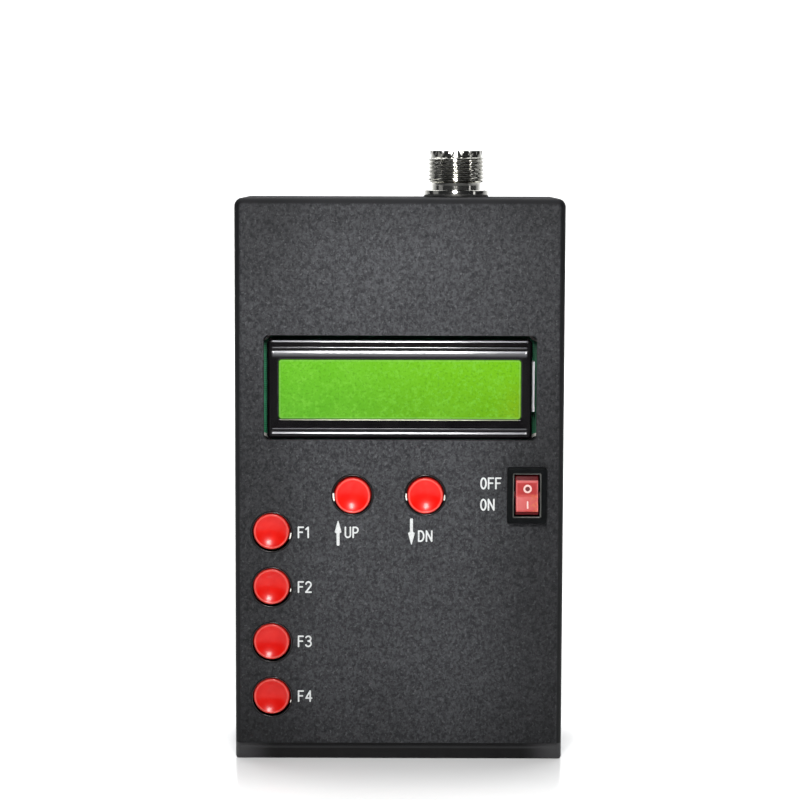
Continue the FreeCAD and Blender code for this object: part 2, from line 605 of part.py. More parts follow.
# openings: coax socket in the top end, power jack and data socket in the left side
sk = sketch(shell, "coax_hole", "XY_Plane", offset=d.case_height + 1)
circle(sk, d.coax_x, d.coax_y, d.coax_hole)
pocket(shell, sk, d.wall_side + 2)
sk = sketch(shell, "side_holes", "YZ_Plane", offset=-half - 1)
circle(sk, d.jack_y, d.jack_z, d.jack_hole)
round_rect(sk, d.main_front - d.usb_high / 2 - d.usb_slot_high / 2, d.main_front - d.usb_high / 2 + d.usb_slot_high / 2,
           d.usb_z - d.usb_slot_half, d.usb_z + d.usb_slot_half, Size.of(0.8), tag="u")
pocket(shell, sk, d.wall_side + 2, ahead=True)

node(group("case_screws", [
    screw("case%d" % i, x, z, d.case_head_seat, d.case_head_radius, d.case_head_high, d.case_screw_radius, d.case_screw_long, True)
    for i, (x, z) in enumerate(post_spots)]), "case_screws")

# ---------------------------------------------------------------- display module
frame = new_body("lcd_bezel")
sk = sketch(frame, "outline", offset=d.lcd_board_front)
round_rect(sk, d.bezel_x - d.bezel_width / 2, d.bezel_x + d.bezel_width / 2,
           d.bezel_z - d.bezel_height / 2, d.bezel_z + d.bezel_height / 2, d.bezel_corner)
pad(frame, sk, d.bezel_front - d.lcd_board_front)
sk = sketch(frame, "inside", offset=d.lcd_board_front)
t = d.bezel_sheet
round_rect(sk, d.bezel_x - d.bezel_width / 2 + t, d.bezel_x + d.bezel_width / 2 - t,
           d.bezel_z - d.bezel_height / 2 + t, d.bezel_z + d.bezel_height / 2 - t, d.bezel_corner - t)
pocket(frame, sk, d.bezel_front - d.lcd_board_front - t, ahead=True)
sk = sketch(frame, "view", offset=d.bezel_front + 1)
round_rect(sk, d.view_x - d.view_width / 2, d.view_x + d.view_width / 2,
           d.view_z - d.view_height / 2, d.view_z + d.view_height / 2, d.view_corner)
pocket(frame, sk, Size.of(2.0))
fillet(frame, Size.of(0.4), lambda p: abs(p.y + d.bezel_front.value) < 1e-6 and (
    abs(p.z - d.bezel_z.value) > d.bezel_height.value / 2 - 1.5 or abs(p.x - d.bezel_x.value) > d.bezel_width.value / 2 - 1.5))
# two long beads pressed into the sheet, above and below the view
for name, side in (("bead_low", -1), ("bead_high", 1)):
    sk = sketch(frame, name, offset=d.bezel_front + 1)
    z = d.bezel_z + side * d.bead_z
    round_rect(sk, d.view_x - d.bead_half, d.view_x + d.bead_half, z - d.bead_wide / 2, z + d.bead_wide / 2, d.bead_wide / 2 - 0.02)
    pocket(frame, sk, 1 + d.bead_deep)
# the right wall is notched for the backlight's tab
sk = sketch(frame, "notch", offset=d.lcd_board_front - 1)
outline(sk, [(d.bezel_x + d.bezel_width / 2 - 2, d.tab_bottom - d.tab_gap), (d.bezel_x + d.bezel_width / 2 + 1, d.tab_bottom - d.tab_gap),
             (d.bezel_x + d.bezel_width / 2 + 1, d.tab_top + d.tab_gap), (d.bezel_x + d.bezel_width / 2 - 2, d.tab_top + d.tab_gap)])
pocket(frame, sk, d.tab_front + d.tab_gap - d.lcd_board_front + 1, ahead=True)

glass_front = d.bezel_front - t - 0.02
node(box("lcd_glass", d.bezel_x - d.glass_width / 2, d.bezel_x + d.glass_width / 2, -glass_front, -glass_front + d.glass_thick,
         d.bezel_z - d.glass_height / 2, d.bezel_z + d.glass_height / 2), "lcd_glass")
diffuser = box("lcd_diffuser", d.bezel_x - d.glass_width / 2, d.bezel_x + d.glass_width / 2, -glass_front + d.glass_thick + 0.02,
               -d.lcd_board_front, d.bezel_z - d.glass_height / 2, d.bezel_z + d.glass_height / 2)
tab = box("lcd_tab", d.bezel_x + d.glass_width / 2 - 1, d.tab_right, -d.tab_front, -d.lcd_board_front, d.tab_bottom, d.tab_top)
node(fuse("lcd_backlight", [diffuser, tab]), "lcd_backlight")

board = new_body("lcd_board")
sk = sketch(board, "outline", offset=d.lcd_board_front - d.board_thick)
round_rect(sk, d.view_x - d.lcd_board_width / 2, d.view_x + d.lcd_board_width / 2,
           d.view_z - d.lcd_board_height / 2, d.view_z + d.lcd_board_height / 2, Size.of(1.0))
pad(board, sk, d.board_thick)
sk = sketch(board, "holes", offset=d.lcd_board_front + 1)
for i, (x, z) in enumerate(lcd_spots):
    circle(sk, x, z, d.lcd_hole_radius, "c%d" % i)
pocket(board, sk, Size.of(4.0))

lcd_rear = d.lcd_board_front - d.board_thick
node(group("lcd_screws", [
    screw("lcd%d" % i, x, z, -lcd_rear, d.small_head_radius, d.small_head_high, d.small_screw_radius, Size.of(6.0))
    for i, (x, z) in enumerate(lcd_spots)]), "lcd_screws")
node(box("lcd_header", d.header_left, d.header_left + d.header_width, -lcd_rear, -lcd_rear + d.header_high,
         d.header_z - 1.25, d.header_z + 1.25), "lcd_header")
node(group("lcd_chips", [cylinder("lcd_chip_%s" % w, x, -lcd_rear, Size.of(98.0), Size.of(6.5), Size.of(1.4), TO_REAR)
                         for w, x in (("a", Size.of(-14.0)), ("b", Size.of(16.0)))]), "lcd_chips")

# ---------------------------------------------------------------- keys
key_board = new_body("key_board")
sk = sketch(key_board, "outline", offset=d.key_board_front - d.board_thick)
round_rect(sk, d.key_board_left, d.key_board_right, d.key_board_bottom, d.key_board_top, Size.of(1.0))
pad(key_board, sk, d.board_thick)
sk = sketch(key_board, "holes", offset=d.key_board_front + 1)
for i, (x, z) in enumerate(key_screw_spots):
    circle(sk, x, z, d.key_screw_hole, "c%d" % i)
pocket(key_board, sk, Size.of(4.0))
key_rear = d.key_board_front - d.board_thick
node(group("key_board_screws", [
    screw("keyb%d" % i, x, z, -key_rear, d.key_head_radius, d.key_head_high, d.key_screw_radius, d.key_screw_long)
    for i, (x, z) in enumerate(key_screw_spots)]), "key_board_screws")

switches = []
for word, (x, z) in keys.items():
    s = d.switch_side / 2
    block = box("switch_%s_block" % word, x - s, x + s, -d.key_board_front - d.switch_high, -d.key_board_front, z - s, z + s)
    well = cylinder("switch_%s_well" % word, x, -d.key_board_front - d.switch_high - 1, z, d.switch_well_radius, d.switch_well_deep + 1, TO_REAR)
    switches.append(cut("switch_%s" % word, block, well))
node(group("key_switches", switches), "key_switches")

for word, (x, z) in keys.items():
    # the stem rises from the switch and carries the cap on its square end
    a = d.stem_side / 2
    foot = cylinder("stem_%s_foot" % word, x, -d.stem_foot, z, d.stem_radius, d.stem_shoulder - d.stem_foot, TO_FRONT)
    square = box("stem_%s_square" % word, x - a, x + a, -d.stem_front, -d.stem_shoulder + 0.2, z - a, z + a)
    node(fuse("key_stem_%s" % word, [foot, square]), "key_stem_%s" % word)
    # the cap is turned about its own axis: a shallow dish for the fingertip inside a rounded rim, level with the face
    cap = new_body("key_cap_%s" % word)
    sk = sketch(cap, "profile")
    rim, rear, floor = d.cap_rim, d.cap_rear, d.cap_floor
    outline(sk, [
        (Size.of(0.0), floor), (d.cap_skirt_radius, floor), (d.cap_skirt_radius, rear), (d.cap_radius, rear),
        (d.cap_radius, rim - d.cap_round), (d.cap_radius - d.cap_round * 0.3, rim - d.cap_round * 0.3),
        (d.cap_radius - d.cap_round, rim), (d.cap_radius - d.cap_round * 1.6, rim - d.cap_dish * 0.12),
        (d.cap_radius * 0.66, rim - d.cap_dish * 0.48), (d.cap_radius * 0.4, rim - d.cap_dish * 0.82),
        (d.cap_radius * 0.15, rim - d.cap_dish * 0.98), (Size.of(0.0), rim - d.cap_dish),
    ])
    revolve(cap, sk)
    # the socket that grips the stem
    hub = sketch(cap, "hub", "XY_Plane", offset=floor + 0.3)
    round_rect(hub, -(d.socket_side / 2 + 0.7), d.socket_side / 2 + 0.7, -(d.socket_side / 2 + 0.7), d.socket_side / 2 + 0.7, Size.of(0.4))
    pad(cap, hub, floor + 0.3 - rear - 0.2, back=True)
    socket = sketch(cap, "socket", "XY_Plane", offset=rear - 1)
    round_rect(socket, -(d.socket_side / 2), d.socket_side / 2, -(d.socket_side / 2), d.socket_side / 2, Size.of(0.1))
    pocket(cap, socket, d.stem_front - rear + 1 + 0.05, ahead=True)
    place(cap, x, Size.of(0.0), z, TO_FRONT)

# flat cables between the boards: straight runs joined by tangent arcs, seen from the side, drawn out along X
def ribbon(label, x0, x1, runs, thick):
    """runs is a list of (y, z) points and (y, z, through_y, through_z) arcs along the middle of the cable."""
    h = thick.value / 2
    near, far = [], []
    here = Vector(0, runs[0][0], runs[0][1])
    for step_ in runs[1:]:
        there = Vector(0, step_[0], step_[1])
        if len(step_) == 2:
            along = (there - here).normalize()
            side = Vector(0, -along.z, along.y) * h
            near.append(Part.LineSegment(here + side, there + side).toShape())
            far.append(Part.LineSegment(here - side, there - side).toShape())
        else:
            mid = Vector(0, step_[2], step_[3])
            arc = Part.Circle(here, mid, there)
            centre, r = arc.Center, arc.Radius
            turn = (mid - here).cross(there - mid).x
            for bank, sign in ((near, 1), (far, -1)):
                grow = (r - sign * h if turn > 0 else r + sign * h) / r
                bank.append(Part.Arc(*[centre + (q - centre) * grow for q in (here, mid, there)]).toShape())
        here = there
    first_near, last_near = near[0].Vertexes[0].Point, near[-1].Vertexes[-1].Point
    first_far, last_far = far[0].Vertexes[0].Point, far[-1].Vertexes[-1].Point
    edges = near + far + [Part.LineSegment(first_near, first_far).toShape(), Part.LineSegment(last_near, last_far).toShape()]
    wire = Part.Wire(Part.__sortEdges__(edges))
    solid = Part.Face(wire).extrude(Vector(x1.value - x0.value, 0, 0))
    obj = doc.addObject("Part::Feature", label)
    obj.Shape = solid
    obj.Placement = Placement(Vector(x0.value, 0, 0), Rotation())
    long_ = sum(e.Length for e in near + far) / 2
    print("%s: length %.2f mm, volume %.2f of %.2f" % (label, long_, solid.Volume, long_ * thick.value * (x1 - x0).value))
    return node(obj, label)


s45 = math.sqrt(0.5)
y0 = (-lcd_rear + d.header_high).value
z0 = d.header_z.value
R = d.lcd_ribbon_bend.value
ribbon("lcd_ribbon", d.header_left, d.header_left + d.header_width, [
    (y0, z0), (-R, z0), (0.0, z0 + R, -R + R * s45, z0 + R - R * s45),
    (R, z0 + 2 * R, R - R * s45, z0 + R + R * s45), (R + 0.5, z0 + 2 * R)], d.ribbon_thick)
R = d.key_ribbon_bend.value
z0 = d.key_socket_high.value
z1 = z0 + 3.0
ribbon("key_ribbon", -d.key_ribbon_half, d.key_ribbon_half, [
    (-R, z0), (-R, z1), (0.0, z1 + R, -R * s45, z1 + R * s45),
    (R, z1 + 2 * R, R * s45, z1 + 2 * R - R * s45)], d.ribbon_thick)
node(box("key_socket", -d.key_ribbon_half - 1, d.key_ribbon_half + 1, -key_rear, Size.of(-3.5), d.key_socket_low, d.key_socket_high), "key_socket")

# ---------------------------------------------------------------- power rocker
housing = new_body("rocker_housing")
sk = sketch(housing, "rim", offset=Size.of(0.0))
round_rect(sk, -(d.rocker_width / 2), d.rocker_width / 2, -(d.rocker_height / 2), d.rocker_height / 2, d.rocker_corner)
pad(housing, sk, d.rocker_proud)
sk = sketch(housing, "barrel", offset=Size.of(0.3))
round_rect(sk, -(d.rocker_body_width / 2), d.rocker_body_width / 2, -(d.rocker_body_height / 2), d.rocker_body_height / 2, Size.of(0.3))
pad(housing, sk, d.front_face - d.rocker_body_rear + 0.3, back=True)
sk = sketch(housing, "well", offset=d.rocker_proud + 1)
round_rect(sk, -(d.rocker_well_width / 2), d.rocker_well_width / 2, -(d.rocker_well_height / 2), d.rocker_well_height / 2, Size.of(0.2))
pocket(housing, sk, d.rocker_proud + 1 + d.front_face - d.rocker_body_rear - d.rocker_floor)
sk = sketch(housing, "mouth", offset=d.rocker_proud + 1)
round_rect(sk, -(d.rocker_mouth_width / 2), d.rocker_mouth_width / 2, -(d.rocker_mouth_height / 2), d.rocker_mouth_height / 2, Size.of(0.4))
pocket(housing, sk, 1 + d.rocker_mouth_deep)
sk = sketch(housing, "pivot", "YZ_Plane")
circle(sk, d.pivot_y + d.front_face, d.pivot_z - d.rocker_z, d.pivot_hole)
pocket(housing, sk, d.rocker_body_width + 0.6, both=True)
fillet(housing, Size.of(0.35), lambda p: abs(p.y + d.rocker_proud.value) < 1e-6 and (
    abs(p.x) > d.rocker_width.value / 2 - 1.05 and abs(p.z) < d.rocker_height.value or abs(p.z) > d.rocker_height.value / 2 - 1.05))
place(housing, d.rocker_x, -d.front_face, d.rocker_z)

# the rocker is drawn level about its pivot and set with its upper end pressed in
paddle = new_body("rocker_paddle")
sk = sketch(paddle, "profile", "YZ_Plane")
outline(sk, [
    (-d.paddle_crown, Size.of(0.0)), (-(d.paddle_crown + d.paddle_rise), -(d.paddle_half)),
    (-(d.paddle_crown + d.paddle_rise - d.paddle_step), -(d.paddle_half + 0.1)),
    (-(d.paddle_crown + d.paddle_rise - d.paddle_step - 0.15), -(d.paddle_skirt)),
    (Size.of(-0.2), -(d.paddle_skirt + 0.05)), (d.paddle_rear, -(d.paddle_rear_half)),
    (d.paddle_rear, d.paddle_rear_half), (Size.of(-0.2), d.paddle_skirt + 0.05),
    (-(d.paddle_crown + d.paddle_rise - d.paddle_step - 0.15), d.paddle_skirt),
    (-(d.paddle_crown + d.paddle_rise - d.paddle_step), d.paddle_half + 0.1),
    (-(d.paddle_crown + d.paddle_rise), d.paddle_half),
])
pad(paddle, sk, d.paddle_half_width * 2, both=True)
fillet(paddle, Size.of(0.35), lambda p: abs(abs(p.z) - d.paddle_half.value) < 1e-4 and abs(p.y + d.paddle_crown.value + d.paddle_rise.value) < 1e-4)
sk = sketch(paddle, "pins", "YZ_Plane")
circle(sk, Size.of(0.0), Size.of(0.0), d.pivot_radius)
pad(paddle, sk, d.pivot_half * 2, both=True)
place(paddle, d.rocker_x, d.pivot_y, d.pivot_z, Rotation(Vector(1, 0, 0), -d.rocker_tilt.value))

blades = []
for i in (-1, 0, 1):
    blades.append(box("blade_%d" % (i + 1), d.rocker_x - d.blade_width / 2, d.rocker_x + d.blade_width / 2, -d.rocker_body_rear,
                      -d.rocker_body_rear + d.blade_long, d.rocker_z + i * d.blade_step - d.blade_thick / 2,
                      d.rocker_z + i * d.blade_step + d.blade_thick / 2))
node(group("rocker_terminals", blades), "rocker_terminals")


def wire_solid(name, path_edges, radius, start, along):
    """A round wire swept along straight runs and tangent arcs."""
    path = Part.Wire(path_edges)
    disc = Part.Wire(Part.Circle(start, along, radius.value).toShape())
    solid = path.makePipeShell([disc], True, False)
    print("%s: length %.2f mm, volume %.3f of %.3f" % (name, path.Length, solid.Volume, path.Length * math.pi * radius.value ** 2))
    return solid


def bent_lead(name, x, y, z, target_x, target_z):
    """From a blade's end straight back, round one bend and straight up to the plug."""
    r, yb = d.lead_bend.value, d.lead_y.value
    start = Vector(x, y, z)
    turn = Vector(x, yb - r, z)
    up = Vector(target_x - x, 0, target_z - z).normalize()
    centre = turn + up * r
    mid = centre + (Vector(0, 1, 0) * math.sin(math.pi / 4) - up * math.cos(math.pi / 4)) * r
    done = centre + Vector(0, r, 0)
    top = done + up * ((target_z - done.z) / up.z)
    edges = [Part.LineSegment(start, turn).toShape(), Part.Arc(turn, mid, done).toShape(), Part.LineSegment(done, top).toShape()]
    return wire_solid(name, edges, d.lead_radius, start, Vector(0, 1, 0))


blade_end = (-d.rocker_body_rear + d.blade_long).value
lead_a = bent_lead("switch lead a", d.rocker_x.value, blade_end, (d.rocker_z + d.blade_step).value,
                   (d.rocker_x - d.lead_half_gap).value, d.plug_bottom.value)
lead_b = bent_lead("switch lead b", d.rocker_x.value, blade_end, (d.rocker_z - d.blade_step).value,
                   (d.rocker_x + d.lead_half_gap).value, d.plug_bottom.value)
switch_leads = doc.addObject("Part::Feature", "switch_leads")
base_point = Vector(0, 0, d.plug_bottom.value)
pair = Part.Compound([lead_a, lead_b])
trim = Part.makeBox(40, 60, 60, Vector(15, -30, d.plug_bottom.value - 60))
switch_leads.Shape = Part.Compound([lead_a.common(trim).Solids[0], lead_b.common(trim).Solids[0]])
switch_leads.Placement = Placement()
node(switch_leads, "switch_leads")

# ---------------------------------------------------------------- coax socket
coax = new_body("uhf_body")
sk = sketch(coax, "profile")
points = [
    (d.shell_bore, -d.barrel_long), (d.barrel_radius, -d.barrel_long), (d.barrel_radius, Size.of(0.0)),
    (d.flange_radius - 0.25, Size.of(0.0)), (d.flange_radius, Size.of(0.25)), (d.flange_radius, d.flange_high - 0.3),
    (d.flange_radius - 0.3, d.flange_high), (d.neck_radius, d.flange_high), (d.neck_radius, d.neck_high - 0.2),
    (d.shell_radius - d.thread_deep, d.neck_high),
]
turns = 6
flank = (d.thread_pitch - d.thread_crest - d.thread_root) / 2
for k in range(turns + 1):
    foot = d.neck_high + 0.1 + k * d.thread_pitch
    points.append((d.shell_radius, foot + flank - 0.1))
    points.append((d.shell_radius, foot + flank + d.thread_crest - 0.1))
    if k < turns:
        points.append((d.shell_radius - d.thread_deep, foot + flank + d.thread_crest + flank - 0.1))
        points.append((d.shell_radius - d.thread_deep, foot + flank + d.thread_crest + flank + d.thread_root - 0.1))
points += [
    (d.crown_radius, d.shell_high + 0.4), (d.crown_radius, d.crown_high - 0.2), (d.crown_radius - 0.2, d.crown_high),
    (d.shell_bore + 0.2, d.crown_high), (d.shell_bore, d.crown_high - 0.2),
]
outline(sk, points)
revolve(coax, sk)
sk = sketch(coax, "notch")
outline(sk, [(-d.notch_half, d.crown_high + 0.1), (Size.of(-0.12), d.crown_high - d.notch_deep),
             (Size.of(0.12), d.crown_high - d.notch_deep), (d.notch_half, d.crown_high + 0.1)])
notch = pocket(coax, sk, d.crown_radius * 2 + 4, both=True)
polar(coax, notch, 8, 157.5)
place(coax, d.coax_x, d.coax_y, d.case_height)

insulator = new_body("uhf_insulator")
sk = sketch(insulator, "profile")
outline(sk, [(d.insulator_bore, -d.insulator_rear), (d.insulator_radius, -d.insulator_rear), (d.insulator_radius, d.insulator_top - 0.3),
             (d.insulator_radius - 0.3, d.insulator_top), (d.insulator_bore, d.insulator_top)])
revolve(insulator, sk)
place(insulator, d.coax_x, d.coax_y, d.case_height)

contact = new_body("uhf_contact")
sk = sketch(contact, "profile")
outline(sk, [(Size.of(0.0), -d.contact_tail), (d.contact_tail_radius, -d.contact_tail), (d.contact_tail_radius, -d.insulator_rear),
             (d.contact_radius, -d.insulator_rear), (d.contact_radius, d.contact_top - 0.25), (d.contact_radius - 0.25, d.contact_top),
             (d.contact_bore, d.contact_top), (d.contact_bore, d.contact_floor), (Size.of(0.0), d.contact_floor - 0.8)])
revolve(contact, sk)
sk = sketch(contact, "slit")
round_rect(sk, -(d.contact_slit / 2), d.contact_slit / 2, d.contact_top - d.contact_slit_deep, d.contact_top + 0.5, Size.of(0.1))
slit = pocket(contact, sk, d.contact_radius * 2 + 2, both=True)
polar(contact, slit, 2, 90.0)
place(contact, d.coax_x, d.coax_y, d.case_height)

under = d.case_height - d.wall_side
washer = cut("uhf_lock_washer", cylinder("washer_disc", d.coax_x, d.coax_y, under - d.washer_high, d.washer_radius, d.washer_high),
             cylinder("washer_hole", d.coax_x, d.coax_y, under - d.washer_high - 1, d.nut_bore, d.washer_high + 2))
teeth = []
for k in range(12):
    tooth = doc.addObject("Part::Box", "washer_gap_%d" % k)
    bind(tooth, "Length", Size.of(2.0))
    bind(tooth, "Width", Size.of(0.9))
    bind(tooth, "Height", d.washer_high + 2)
    turn = Rotation(Vector(0, 0, 1), 30.0 * k)
    at = turn.multVec(Vector(d.washer_radius.value - 0.9, -0.45, 0))
    place(tooth, d.coax_x + at.x, d.coax_y + at.y, under - d.washer_high - 1, turn)
    teeth.append(tooth)
node(cut("uhf_lock_washer_cut", washer, fuse("washer_gaps", teeth)), "uhf_lock_washer")
prism = doc.addObject("Part::Prism", "nut_blank")
prism.Polygon = 6
bind(prism, "Circumradius", d.nut_circle)
bind(prism, "Height", d.nut_high)
place(prism, d.coax_x, d.coax_y, under - d.washer_high - d.nut_high)
node(cut("uhf_nut_cut", prism, cylinder("nut_hole", d.coax_x, d.coax_y, under - d.washer_high - d.nut_high - 1, d.nut_bore, d.nut_high + 2)), "uhf_nut")
node(cylinder("coax_pigtail", d.coax_x, d.coax_y, d.can_top, d.coax_lead_radius, d.case_height - d.contact_tail - d.can_top), "coax_pigtail")

# ---------------------------------------------------------------- main board
main = new_body("main_board")
sk = sketch(main, "outline", offset=-(d.main_front + d.board_thick))
round_rect(sk, d.main_left, d.main_right, d.main_bottom, d.main_top, Size.of(1.0))
pad(main, sk, d.board_thick)
sk = sketch(main, "holes", offset=-d.main_front + 1)
for i, (x, z) in enumerate(main_spots):
    circle(sk, x, z, d.key_screw_hole, "c%d" % i)
pocket(main, sk, Size.of(4.0))


def front_screw(name, x, z):
    head = cylinder(name + "_head", x, d.main_front, z, d.key_head_radius, d.key_head_high, TO_FRONT)
    shank = cylinder(name + "_shank", x, d.main_front, z, d.key_screw_radius, Size.of(7.5), TO_REAR)
    slot = box(name + "_slot", x - 1.4, x + 1.4, d.main_front - d.key_head_high - 0.2, d.main_front - d.key_head_high + 0.8, z - 0.3, z + 0.3)
    return cut(name + "_screw", fuse(name + "_blank", [head, shank]), slot)


node(group("main_board_screws", [front_screw("mainb%d" % i, x, z) for i, (x, z) in enumerate(main_spots)]), "main_board_screws")
node(box("shield_can", d.can_left, d.can_right, d.can_front, d.main_front, d.can_bottom, d.can_top), "shield_can")
node(box("controller_chip", Size.of(-16.0), Size.of(-4.0), d.main_front - 1.4, d.main_front, Size.of(105.0), Size.of(115.0)), "controller_chip")
node(box("synth_chip", Size.of(-1.0), Size.of(7.0), d.main_front - 1.8, d.main_front, Size.of(99.0), Size.of(107.0)), "synth_chip")
node(box("clock_crystal", Size.of(-2.0), Size.of(8.0), d.main_front - 3.5, d.main_front, Size.of(110.5), Size.of(114.8)), "clock_crystal")
node(group("filter_capacitors", [cylinder("cap_%s" % w, x, d.main_front, z, Size.of(3.15), Size.of(7.7), TO_FRONT)
                                 for w, x, z in (("a", Size.of(-22.5), Size.of(99.5)), ("b", Size.of(-14.5), Size.of(99.5)))]), "filter_capacitors")
node(box("contrast_trimmer", Size.of(20.0), Size.of(26.5), d.main_front - 4.8, d.main_front, Size.of(87.0), Size.of(93.5)), "contrast_trimmer")
node(box("display_socket", d.header_left, d.header_left + d.header_width, d.lcd_ribbon_bend + 0.5, d.main_front,
         d.header_z + 2 * d.lcd_ribbon_bend - 1.35, d.header_z + 2 * d.lcd_ribbon_bend + 1.35), "display_socket")
node(box("keypad_socket", -d.key_ribbon_half - 1, d.key_ribbon_half + 1, Size.of(3.6), d.main_front,
         d.key_socket_high + 3 + 2 * d.key_ribbon_bend, d.key_socket_high + 3 + 2 * d.key_ribbon_bend + 5.5), "keypad_socket")
node(group("plug_sockets", [box("plug_%s" % w, x - 3.0, x + 3.0, d.plug_front, d.main_front, d.plug_bottom, d.plug_top)
                            for w, x in (("battery", d.battery_plug_x), ("switch", d.rocker_x))]), "plug_sockets")

jack = cut("dc_jack_bored", box("dc_jack_block", d.jack_mouth, d.jack_inner, d.jack_front, d.main_front, d.jack_z - d.jack_half, d.jack_z + d.jack_half),
           cylinder("dc_jack_bore", d.jack_mouth - 1, d.jack_y, d.jack_z, d.jack_bore, d.jack_bore_deep + 1, TO_RIGHT))
node(jack, "dc_jack")
node(cylinder("dc_jack_pin", d.jack_mouth + 1, d.jack_y, d.jack_z, d.jack_pin, d.jack_bore_deep - 1, TO_RIGHT), "dc_jack_pin")
usb = box("usb_block", d.jack_mouth, d.usb_inner, d.main_front - d.usb_high, d.main_front, d.usb_z - d.usb_half, d.usb_z + d.usb_half)
hollow = box("usb_hollow", d.jack_mouth - 1, d.jack_mouth + d.usb_deep, d.main_front - d.usb_high + d.usb_wall, d.main_front - d.usb_wall,
             d.usb_z - d.usb_half + d.usb_wall, d.usb_z + d.usb_half - d.usb_wall)
tongue = box("usb_tongue", d.jack_mouth + 1, d.jack_mouth + d.usb_deep + 0.3, d.main_front - d.usb_high / 2 - 0.5, d.main_front - d.usb_high / 2 + 0.5,
             d.usb_z - 2.4, d.usb_z + 2.4)
node(fuse("usb_socket", [cut("usb_shell", usb, hollow), tongue]), "usb_socket")

# ---------------------------------------------------------------- battery
hs, he = d.holder_side, d.holder_end
holder_parts = [
    box("holder_floor", -d.holder_half, d.holder_half, d.holder_rear - d.holder_base, d.holder_rear, d.holder_bottom, d.holder_top),
    box("holder_end_low", -d.holder_half, d.holder_half, d.holder_end_front, d.holder_rear, d.holder_bottom, d.holder_bottom + he),
    box("holder_end_high", -d.holder_half, d.holder_half, d.holder_end_front, d.holder_rear, d.holder_top - he, d.holder_top),
    box("holder_side_left", -d.holder_half, -d.holder_half + hs, d.holder_side_front, d.holder_rear, d.holder_bottom, d.holder_top),
    box("holder_side_right", d.holder_half - hs, d.holder_half, d.holder_side_front, d.holder_rear, d.holder_bottom, d.holder_top),
    box("holder_rib_left", -d.cell_pitch / 2 - 0.4, -d.cell_pitch / 2 + 0.4, Size.of(11.5), d.holder_rear, d.holder_bottom, d.holder_top),
    box("holder_rib_right", d.cell_pitch / 2 - 0.4, d.cell_pitch / 2 + 0.4, Size.of(11.5), d.holder_rear, d.holder_bottom, d.holder_top),
]
node(fuse("battery_holder", holder_parts), "battery_holder")
cells, contacts = [], []
for i in (-1, 0, 1):
    x = i * d.cell_pitch
    can = cylinder("cell_can_%d" % (i + 1), x, d.cell_y, d.cell_bottom, d.cell_radius, d.cell_top - d.cell_bottom)
    nub = cylinder("cell_nub_%d" % (i + 1), x, d.cell_y, d.cell_top - 0.2, Size.of(2.8), Size.of(1.2))
    cells.append(fuse("cell_%d" % (i + 1), [can, nub]))
    contacts.append(cylinder("contact_low_%d" % (i + 1), x, d.cell_y, d.holder_bottom + he, Size.of(4.0), d.cell_bottom - d.holder_bottom - he))
    contacts.append(cylinder("contact_high_%d" % (i + 1), x, d.cell_y, d.cell_top + 1.0, Size.of(3.2), d.holder_top - he - d.cell_top - 1.0))
node(group("battery_cells", cells), "battery_cells")
node(group("battery_contacts", contacts), "battery_contacts")
node(box("holder_tape", Size.of(-24.0), Size.of(24.0), d.holder_rear, d.holder_rear + d.tape_thick, Size.of(16.0), Size.of(70.0)), "holder_tape")
node(group("battery_leads", [
    cylinder("battery_lead_%s" % w, d.battery_plug_x + sign * d.lead_half_gap, d.lead_y, d.holder_top, d.lead_radius, d.plug_bottom - d.holder_top)
    for w, sign in (("plus", -1), ("minus", 1))]), "battery_leads")

# ---------------------------------------------------------------- checks and export
doc.recompute()
for obj in doc.Objects:
    if "Invalid" in obj.State or "Error" in obj.State:
        raise RuntimeError("%s is in state %s" % (obj.Label, obj.State))
total = 0
for label, obj in sorted(NODES.items()):
    shape = obj.Shape
    if shape.isNull() or not shape.isValid() or not shape.Solids:
        raise RuntimeError(label + " has no valid solid")
    total += len(shape.Solids)
if len(NODES) > 60:
    raise RuntimeError("too many sub-parts: %d" % len(NODES))
for label, obj in sorted(NODES.items()):
    obj.Shape.exportStep("parts/%s.step" % label)
    b = obj.Shape.BoundBox
    print("%-20s %2d solid(s) %10.1f mm3  x %7.2f..%7.2f  y %7.2f..%7.2f  z %7.2f..%7.2f" % (
        label, len(obj.Shape.Solids), obj.Shape.Volume, b.XMin, b.XMax, b.YMin, b.YMax, b.ZMin, b.ZMax))
print("%d sub-parts, %d solids" % (len(NODES), total))
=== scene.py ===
import math

import bmesh
import bpy
from mathutils import Matrix, Vector


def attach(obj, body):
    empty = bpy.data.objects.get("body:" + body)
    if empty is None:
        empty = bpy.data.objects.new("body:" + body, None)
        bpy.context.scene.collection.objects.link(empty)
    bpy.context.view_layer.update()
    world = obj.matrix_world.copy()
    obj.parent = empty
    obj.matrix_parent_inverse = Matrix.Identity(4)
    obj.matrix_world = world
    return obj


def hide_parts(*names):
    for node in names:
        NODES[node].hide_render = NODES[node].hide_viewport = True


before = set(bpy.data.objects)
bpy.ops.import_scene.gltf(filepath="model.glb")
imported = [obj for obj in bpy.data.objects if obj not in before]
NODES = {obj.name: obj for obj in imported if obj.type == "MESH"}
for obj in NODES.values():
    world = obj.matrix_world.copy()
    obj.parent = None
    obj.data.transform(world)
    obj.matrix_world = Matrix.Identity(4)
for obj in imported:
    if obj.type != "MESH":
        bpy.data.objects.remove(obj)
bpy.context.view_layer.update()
MM = 0.001
TAU = 2 * math.pi


